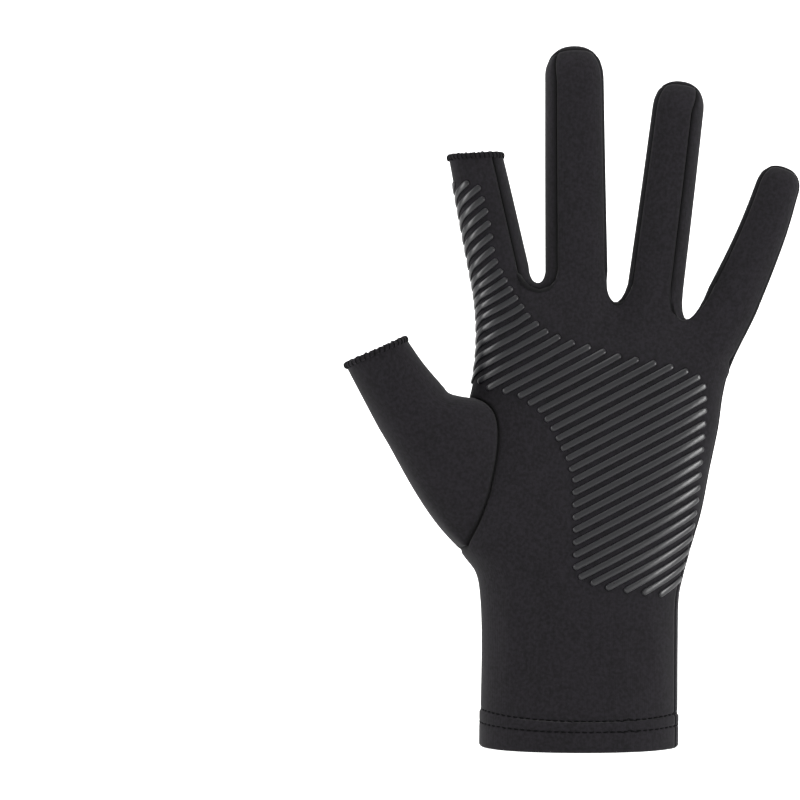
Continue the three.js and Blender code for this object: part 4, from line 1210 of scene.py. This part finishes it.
def add_bar(bm, skin, line, bars):
    """One bar: a low rounded strip with round ends, sunk a little into the cloth."""
    spots = [skin.under(place) for place in evened(resample(line, BAR_STEP), 3)]
    places = evened([place for place, _ in spots], 1)
    outs = [out for _, out in spots]
    for _ in range(4):
        inner = ((a + 2 * b + c).normalized() for a, b, c in zip(outs, outs[1:], outs[2:]))
        outs = [outs[0], *inner, outs[-1]]
    reach = lengths_along(places)
    half = bars.width / 2
    stations = [half * share for share in BAR_ENDS]
    stations += [s for s in reach if half < s < reach[-1] - half]
    stations += [reach[-1] - half * share for share in BAR_ENDS[::-1]]
    rings = []
    for s in stations:
        i = min(max(bisect.bisect_right(reach, s) - 1, 0), len(places) - 2)
        t = (s - reach[i]) / (reach[i + 1] - reach[i])
        place, out = mix(places[i], places[i + 1], t), mix(outs[i], outs[i + 1], t).normalized()
        ahead = (places[min(i + 2, len(places) - 1)] - places[max(i - 1, 0)]).normalized()
        sideways = out.cross(ahead).normalized()
        from_end = min(s, reach[-1] - s)
        share = math.sqrt(max(1 - max(1 - from_end / half, 0) ** 2, 0)) if from_end < half else 1
        ring = []
        for k in range(bars.sides + 1):
            angle = math.pi * k / bars.sides
            across = signed_power(math.cos(angle), BAR_SHOULDER) * half * share
            up = math.sin(angle) ** BAR_SHOULDER * (bars.height + BAR_SUNK) * share**BAR_END_RISE - BAR_SUNK
            ring.append(place + sideways * across + out * up)
        rings.append(ring)
    add_tube(bm, rings)


def add_allowance(bm, run):
    """The sewn-up edges behind one seam, as the round cord that they make inside the glove."""
    middles = [place - out * ALLOWANCE_DEEP for place, out in run]
    rings = []
    for i, (_, out) in enumerate(run):
        ahead = middles[min(i + 1, len(run) - 1)] - middles[max(i - 1, 0)]
        side = out.cross(ahead).normalized()
        up = ahead.cross(side).normalized()
        rings.append(circle(middles[i], side, up, ALLOWANCE_THICK, THREAD_SIDES))
    add_tube(bm, [[middles[0]] * THREAD_SIDES] + rings + [[middles[-1]] * THREAD_SIDES])


def add_stitch(bm, start, end, out, radius):
    """One stitch: a short run of thread, rounded over at both ends and bowed a little out of the cloth."""
    ahead = end - start
    side = out.cross(ahead).normalized()
    sizes = ((0, 0), (0.04, 0.6), (0.14, 0.95), (0.35, 1), (0.65, 1), (0.86, 0.95), (0.96, 0.6), (1, 0))
    rings = []
    for t, share in sizes:
        place = start + ahead * t + out * (radius * (0.9 * math.sin(math.pi * t) - 0.25))
        rings.append(circle(place, side, out, radius * share, THREAD_SIDES))
    add_tube(bm, rings)


def add_stitched_line(bm, skin, line, cloth):
    """One stitched line round the cuff, a little uneven, its start and end sewn over each other."""
    course = resample(line, cloth.stitch_pitch / STITCH_PARTS)
    last = len(course) - 1
    for n in range(round(last / STITCH_PARTS)):
        waver = Vector((0, 0, STITCH_WAVER * math.sin(5.3 * n) * math.sin(1.7 * n)))
        start = course[STITCH_PARTS * n % last] + waver
        end = course[(STITCH_PARTS * (n + 1) - 1) % last] - waver
        middle = mix(start, end, 0.5)
        _, out = skin.under(middle)
        add_stitch(bm, start, end, out, cloth.thread)
        if middle.y < 0 and TACK_START < middle.x < TACK_END:
            aside = Vector((0, 0, TACK_ASIDE * (-1) ** n)) - out * TACK_UNDER
            step = (end - start) * TACK_STEP
            add_stitch(bm, start + step + aside, end + step + aside * 0.5, out, cloth.thread)


def close_up(bm):
    bmesh.ops.remove_doubles(bm, verts=bm.verts, dist=0.004 * MM)
    bmesh.ops.dissolve_degenerate(bm, dist=0.004 * MM, edges=bm.edges)
    bmesh.ops.recalc_face_normals(bm, faces=bm.faces)


def open_end(form, name):
    """The rim of the index finger's or the thumb's open end, and the way that it points."""
    if name == "index":
        finger = form.fingers[-1]
        return [column[-1] for column in finger["grid"][:-1]], finger["end"].axis
    return [line[-1] for line in form.thumb], form.thumb_ring(1).axis


def hem_point(place, centre, axis, turn, angle, hems, off=0.0):
    """A point of a rolled hem's section at a place of the rim, or so far off its surface."""
    out = place - centre
    out = (out - axis * out.dot(axis)).normalized()
    wave = HEM_WAVE * math.sin(hems.loops / 2 * turn + 0.4 * math.sin(3 * turn))
    across = signed_power(math.cos(angle), HEM_SQUARE) * (hems.band_depth / 2 + off)
    up = signed_power(math.sin(angle), HEM_SQUARE) * (hems.band_height / 2 + off)
    return place - out * (HEM_IN * hems.band_depth) + out * across + axis * (up - HEM_DOWN + wave)


def add_rolled_hem(bm, rim, centre, axis, hems):
    """A narrow band rolled over an open end: its outer face, its top and its turned-in face."""
    rings = []
    for i, place in enumerate(rim):
        turn = 2 * math.pi * i / len(rim)
        angles = (2 * math.pi * k / HEM_SIDES for k in range(HEM_SIDES))
        rings.append([hem_point(place, centre, axis, turn, angle, hems) for angle in angles])
    add_tube(bm, rings, closed=True)


def add_overlock(bm, rim, centre, axis, hems):
    """The thread that is wound over a rolled hem, as one closed course of loops."""
    spots = resample([*rim, rim[0]], RIM_STEP)[:-1]
    count = hems.loops * OVERLOCK_STEPS
    course = []
    for n in range(count):
        t = n / count * len(spots)
        i = int(t)
        place = mix(spots[i], spots[(i + 1) % len(spots)], t - i)
        turn = 2 * math.pi * n / count
        angle = 2 * math.pi * (n % OVERLOCK_STEPS) / OVERLOCK_STEPS
        course.append(hem_point(place, centre, axis, turn, angle, hems, OVERLOCK_SUNK * hems.overlock))
    add_cord_round(bm, course, hems.overlock)


def add_cord_round(bm, course, radius):
    """A closed course of thread, as a tube of even thickness."""
    count = len(course)
    middle = sum(course, Vector()) / count
    rings = []
    side = course[0] - middle
    for n, place in enumerate(course):
        ahead = (course[(n + 1) % count] - course[n - 1]).normalized()
        side = (side - ahead * side.dot(ahead)).normalized()
        rings.append(circle(place, side, ahead.cross(side), radius, OVERLOCK_SIDES))
    add_tube(bm, rings, closed=True)


def new_object(name, bm, material):
    """The finished mesh as a smooth object with its material."""
    mesh = bpy.data.meshes.new(name)
    bm.to_mesh(mesh)
    bm.free()
    made = bpy.data.objects.new(name, mesh)
    bpy.context.scene.collection.objects.link(made)
    mesh.materials.append(material)
    for face in mesh.polygons:
        face.use_smooth = True
    return made


def new_piece(name, bm, material):
    """The finished mesh as a piece of its own that rides on the glove."""
    piece = new_object(name, bm, material)
    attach(piece, "root")
    return piece


def new_cloth(scene, name, labels, material, slot, *nodes):
    """One piece of cloth in the place of its nodes, with the cloth's thickness laid on the skin's inside."""
    _, skin = Workshop.ready(scene)
    piece = new_piece(name, sewn_piece(skin, labels, scene.glove_cloth), material)
    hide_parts(*nodes)
    solid = piece.modifiers.new("Wall", "SOLIDIFY")
    solid.thickness = scene.glove_cloth.wall
    solid.offset = -1
    solid.use_even_offset = False


def set_sockets(tree, node, values):
    """Gives a node's sockets their values, or links them to the outputs that they take them from."""
    for socket, source in values.items():
        if isinstance(source, bpy.types.NodeSocket):
            tree.links.new(source, node.inputs[socket])
        else:
            node.inputs[socket].default_value = source


def add_node(tree, kind, settings=None, links=None):
    """One node with its settings, its sockets' values and its links."""
    node = tree.nodes.new("ShaderNode" + kind)
    for name, value in (settings or {}).items():
        setattr(node, name, value)
    set_sockets(tree, node, links or {})
    return node


def new_material(name):
    material = bpy.data.materials.new(name)
    material.use_nodes = True
    tree = material.node_tree
    return material, tree, tree.nodes["Principled BSDF"]


def two_tones(tree, share, dark, light):
    blend = add_node(tree, "Mix", {"data_type": "RGBA"}, {"Factor": share, "A": dark, "B": light})
    return blend.outputs[2]


def knit_material(name, finishes, along):
    """Brushed stretch knit of nylon and elastane: matt, with fine ribs and a speckle of lighter filaments."""
    material, tree, shader = new_material(name)
    cloth = add_node(tree, "UVMap", {"uv_map": "cloth"})
    split = add_node(tree, "SeparateXYZ", links={"Vector": cloth.outputs["UV"]})
    place = add_node(tree, "TexCoord").outputs["Object"]
    turns = {0: split.outputs[along], 1: 2 * math.pi / RIB_APART}
    wale = add_node(tree, "Math", {"operation": "MULTIPLY"}, turns)
    rib = add_node(tree, "Math", {"operation": "SINE"}, {0: wale.outputs[0]})
    fuzz = add_node(tree, "TexNoise", links={"Vector": place, "Scale": 1 / (1.1 * MM), "Detail": 4.0})
    drift = add_node(tree, "TexNoise", links={"Vector": place, "Scale": 1 / (14 * MM), "Detail": 2.0})
    speckle = add_node(tree, "MapRange", links={"Value": fuzz.outputs[0], "From Min": 0.35, "From Max": 0.68})
    wide = add_node(tree, "MapRange", links={"Value": drift.outputs[0], "From Min": 0.3, "From Max": 0.7})
    tones = {0: wide.outputs[0], 1: 0.25, 2: speckle.outputs[0]}
    share = add_node(tree, "Math", {"operation": "MULTIPLY_ADD"}, tones)
    tone = two_tones(tree, share.outputs[0], finishes.cloth_deep, finishes.cloth)
    # Painted shade: the cloth darkens towards the thread's colour in and beside each seam. This is partly the
    # overlocked edge behind the seam showing through it as a darker line, and partly shade painted into the
    # seam's groove
    shade = add_node(tree, "Attribute", {"attribute_name": "seam_shade"})
    tone = two_tones(tree, shade.outputs["Fac"], tone, finishes.thread)
    relief = {0: rib.outputs[0], 1: 0.18, 2: fuzz.outputs[0]}
    height = add_node(tree, "Math", {"operation": "MULTIPLY_ADD"}, relief)
    rise = {"Height": height.outputs[0], "Strength": 0.35, "Distance": 0.12 * MM}
    bump = add_node(tree, "Bump", links=rise)
    finish = {
        "Base Color": tone,
        "Normal": bump.outputs[0],
        "Roughness": 0.86,
        "Specular IOR Level": 0.1,
        "Sheen Weight": 0.04,
        "Sheen Roughness": 0.6,
    }
    set_sockets(tree, shader, finish)
    return material


def thread_material(finishes):
    """Spun polyester sewing thread: near black and dull, with a fine twist."""
    material, tree, shader = new_material("polyester_thread")
    place = add_node(tree, "TexCoord").outputs["Object"]
    twist = add_node(tree, "TexNoise", links={"Vector": place, "Scale": 1 / (0.3 * MM)})
    rise = {"Height": twist.outputs[0], "Strength": 0.4, "Distance": 0.05 * MM}
    bump = add_node(tree, "Bump", links=rise)
    finish = {
        "Base Color": finishes.thread,
        "Normal": bump.outputs[0],
        "Roughness": 0.85,
        "Specular IOR Level": 0.06,
    }
    set_sockets(tree, shader, finish)
    return material


def silicone_material(finishes):
    """Screen-printed silicone: charcoal and half glossy, its surface a little uneven from the print."""
    material, tree, shader = new_material("printed_silicone")
    place = add_node(tree, "TexCoord").outputs["Object"]
    uneven = add_node(tree, "TexNoise", links={"Vector": place, "Scale": 1 / (1.6 * MM), "Detail": 2.0})
    rise = {"Height": uneven.outputs[0], "Strength": 0.25, "Distance": 0.12 * MM}
    bump = add_node(tree, "Bump", links=rise)
    rough = add_node(tree, "MapRange", links={"Value": uneven.outputs[0], "To Min": 0.24, "To Max": 0.38})
    finish = {
        "Base Color": finishes.silicone,
        "Normal": bump.outputs[0],
        "Roughness": rough.outputs[0],
        "IOR": 1.43,
        "Specular IOR Level": 0.62,
    }
    set_sockets(tree, shader, finish)
    return material


def backdrop_material(finishes):
    """Matt photographic paper."""
    material, tree, shader = new_material("backdrop_paper")
    place = add_node(tree, "TexCoord").outputs["Object"]
    grain = add_node(tree, "TexNoise", links={"Vector": place, "Scale": 1 / (2.5 * MM)})
    rise = {"Height": grain.outputs[0], "Strength": 0.05, "Distance": 0.1 * MM}
    bump = add_node(tree, "Bump", links=rise)
    set_sockets(
        tree, shader, {"Base Color": finishes.floor, "Normal": bump.outputs[0], "Roughness": 0.9}
    )
    return material


def backdrop_place(across, reach):
    """A place of the backdrop, so far back along it from the glove."""
    past = reach - BEND_START
    turn = past / BEND
    if past < 0:
        return Vector((across, reach, FLOOR))
    if turn < math.pi / 2:
        return Vector((across, BEND_START + BEND * math.sin(turn), FLOOR + BEND * (1 - math.cos(turn))))
    return Vector((across, BEND_START + BEND, FLOOR + BEND + past - BEND * math.pi / 2))


class Workshop:
    """What the operators share: the form and the skin are laid out once, for the sizes as they stand."""

    form = None
    skin = None

    @classmethod
    def ready(cls, scene):
        if cls.form is None:
            cls.form = Form(scene.glove_sizes)
            cls.skin = Skin(cls.form)
        return cls.form, cls.skin


class GLOVE_OT_cloth(bpy.types.Operator):
    """Cut and sew the trank, the fourchettes and the thumb"""

    bl_idname = "glove.cloth"
    bl_label = "Cloth pieces"

    def execute(self, context):
        scene = context.scene
        _, skin = Workshop.ready(scene)
        knit = knit_material("brushed_stretch_knit", scene.glove_finishes, 0)
        new_cloth(scene, "trank", TRANK, knit, "stretch_fabric", "palm_panel", "back_panel")
        for i, web in enumerate(WEBS):
            name = "fourchette_" + web["name"]
            new_cloth(scene, name + "_cloth", {FIRST_WEB + i}, knit, "stretch_fabric", name)
        new_cloth(scene, "thumb_cloth", {THUMB_CLOTH}, knit, "stretch_fabric", "thumb_sleeve")
        bm = bmesh.new()
        for run in skin.seam_runs():
            add_allowance(bm, [(vert.co, vert.normal) for vert in run])
        close_up(bm)
        new_piece("seam_allowances", bm, thread_material(scene.glove_finishes))
        return {"FINISHED"}


class GLOVE_OT_cuff_hem(bpy.types.Operator):
    """Turn the cuff's hem in and sew its two stitched lines"""

    bl_idname = "glove.cuff_hem"
    bl_label = "Cuff hem"

    def execute(self, context):
        scene = context.scene
        form, skin = Workshop.ready(scene)
        knit = knit_material("turned_stretch_knit", scene.glove_finishes, 0)
        new_cloth(scene, "cuff_hem_cloth", HEM_CLOTH, knit, "hem_fabric", "cuff_hem")
        bm = bmesh.new()
        for row in (LOWER_STITCH_ROW, HEM_ROWS):
            line = [column[row] for column in form.body[:-1]]
            add_stitched_line(bm, skin, [*line, line[0]], scene.glove_cloth)
        close_up(bm)
        new_piece("cuff_stitching", bm, thread_material(scene.glove_finishes))
        return {"FINISHED"}


class GLOVE_OT_tip_hems(bpy.types.Operator):
    """Roll and overlock the hems of the index finger and the thumb"""

    bl_idname = "glove.tip_hems"
    bl_label = "Tip hems"

    def execute(self, context):
        scene = context.scene
        hems = scene.glove_hems
        form, _ = Workshop.ready(scene)
        knit = knit_material("rolled_stretch_knit", scene.glove_finishes, 1)
        thread = thread_material(scene.glove_finishes)
        for name in ("index", "thumb"):
            rim, axis = open_end(form, name)
            centre = sum(rim, Vector()) / len(rim)
            bm = bmesh.new()
            bm.loops.layers.uv.new("cloth")
            add_rolled_hem(bm, rim, centre, axis, hems)
            close_up(bm)
            band = new_piece(name + "_hem_band", bm, knit)
            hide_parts(name + "_hem")
            bm = bmesh.new()
            add_overlock(bm, rim, centre, axis, hems)
            close_up(bm)
            new_piece(name + "_overlock", bm, thread)
        return {"FINISHED"}


class GLOVE_OT_grip_bars(bpy.types.Operator):
    """Print the raised grip bars on the palm, the index finger and round on to the back"""

    bl_idname = "glove.grip_bars"
    bl_label = "Grip bars"

    def execute(self, context):
        scene = context.scene
        form, skin = Workshop.ready(scene)
        bars = scene.glove_bars
        lines = PalmCloth(form, bars).bar_lines()
        nodes = [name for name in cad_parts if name.startswith("grip_bar")]
        if not 0.9 * len(nodes) < len(lines) < 1.1 * len(nodes):
            raise RuntimeError(f"{len(lines)} bars were laid out for {len(nodes)} bars of the frame")
        bm = bmesh.new()
        for line in lines:
            add_bar(bm, skin, line, bars)
        close_up(bm)
        piece = new_piece("grip_bars", bm, silicone_material(scene.glove_finishes))
        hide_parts(*nodes)
        return {"FINISHED"}


class GLOVE_OT_stage(bpy.types.Operator):
    """Set up the pale backdrop, the soft lights and the camera"""

    bl_idname = "glove.stage"
    bl_label = "Stage"

    def execute(self, context):
        scene = context.scene
        bm = bmesh.new()
        bmesh.ops.create_grid(bm, x_segments=2, y_segments=48, size=1)
        for vert in bm.verts:
            reach = (vert.co.y + 1) / 2 * BACKDROP_LENGTH - BACKDROP_FRONT
            vert.co = backdrop_place(vert.co.x * BACKDROP_HALF_WIDTH, reach)
        new_object("backdrop", bm, backdrop_material(scene.glove_finishes))

        world = bpy.data.worlds.new("studio")
        world.use_nodes = True
        sky = world.node_tree.nodes["Background"]
        sky.inputs["Color"].default_value = linear("#ffffff")
        sky.inputs["Strength"].default_value = SKY_STRENGTH
        scene.world = world
        scene.view_settings.view_transform = "Standard"

        for row in LIGHTS:
            lamp = bpy.data.lights.new(row["name"], "AREA")
            lamp.shape = "RECTANGLE"
            lamp.size, lamp.size_y = row["size"]
            lamp.energy = row["power"]
            light = bpy.data.objects.new(row["name"], lamp)
            light.location = row["place"]
            way = Vector(row["aim"]) - Vector(row["place"])
            light.rotation_euler = way.to_track_quat("-Z", "Y").to_euler()
            scene.collection.objects.link(light)

        lens = bpy.data.cameras.new("camera")
        lens.lens, lens.sensor_width = CAMERA_LENS, CAMERA_SENSOR
        camera = bpy.data.objects.new("camera", lens)
        camera.location = CAMERA_PLACE
        camera.rotation_euler = (math.pi / 2, 0, 0)
        scene.collection.objects.link(camera)
        scene.camera = camera
        return {"FINISHED"}


class GLOVE_PT_sidebar(bpy.types.Panel):
    """The glove's sizes, finishes and pieces"""

    bl_label = "Fishing Glove"
    bl_space_type = "VIEW_3D"
    bl_region_type = "UI"
    bl_category = "Glove"

    def draw(self, context):
        layout, scene = self.layout, context.scene
        for group in GROUPS:
            for name in getattr(scene, group).bl_rna.properties.keys():
                if name not in ("rna_type", "name"):
                    layout.prop(getattr(scene, group), name)
        for operator in PIECES:
            layout.operator(operator.bl_idname)


GROUPS = {
    "glove_sizes": GloveSizes,
    "glove_cloth": ClothSizes,
    "glove_hems": HemSizes,
    "glove_bars": BarSizes,
    "glove_finishes": Finishes,
}
PIECES = (GLOVE_OT_cloth, GLOVE_OT_cuff_hem, GLOVE_OT_tip_hems, GLOVE_OT_grip_bars, GLOVE_OT_stage)


def register():
    for cls in (*GROUPS.values(), *PIECES, GLOVE_PT_sidebar):
        bpy.utils.register_class(cls)
    for name, group in GROUPS.items():
        setattr(bpy.types.Scene, name, PointerProperty(type=group))


def unregister():
    for name in GROUPS:
        delattr(bpy.types.Scene, name)
    for cls in (GLOVE_PT_sidebar, *reversed(PIECES), *reversed(GROUPS.values())):
        bpy.utils.unregister_class(cls)


def main():
    register()
    bpy.ops.glove.cloth()
    bpy.ops.glove.cuff_hem()
    bpy.ops.glove.tip_hems()
    bpy.ops.glove.grip_bars()
    bpy.ops.glove.stage()


if __name__ == "__main__":
    main()
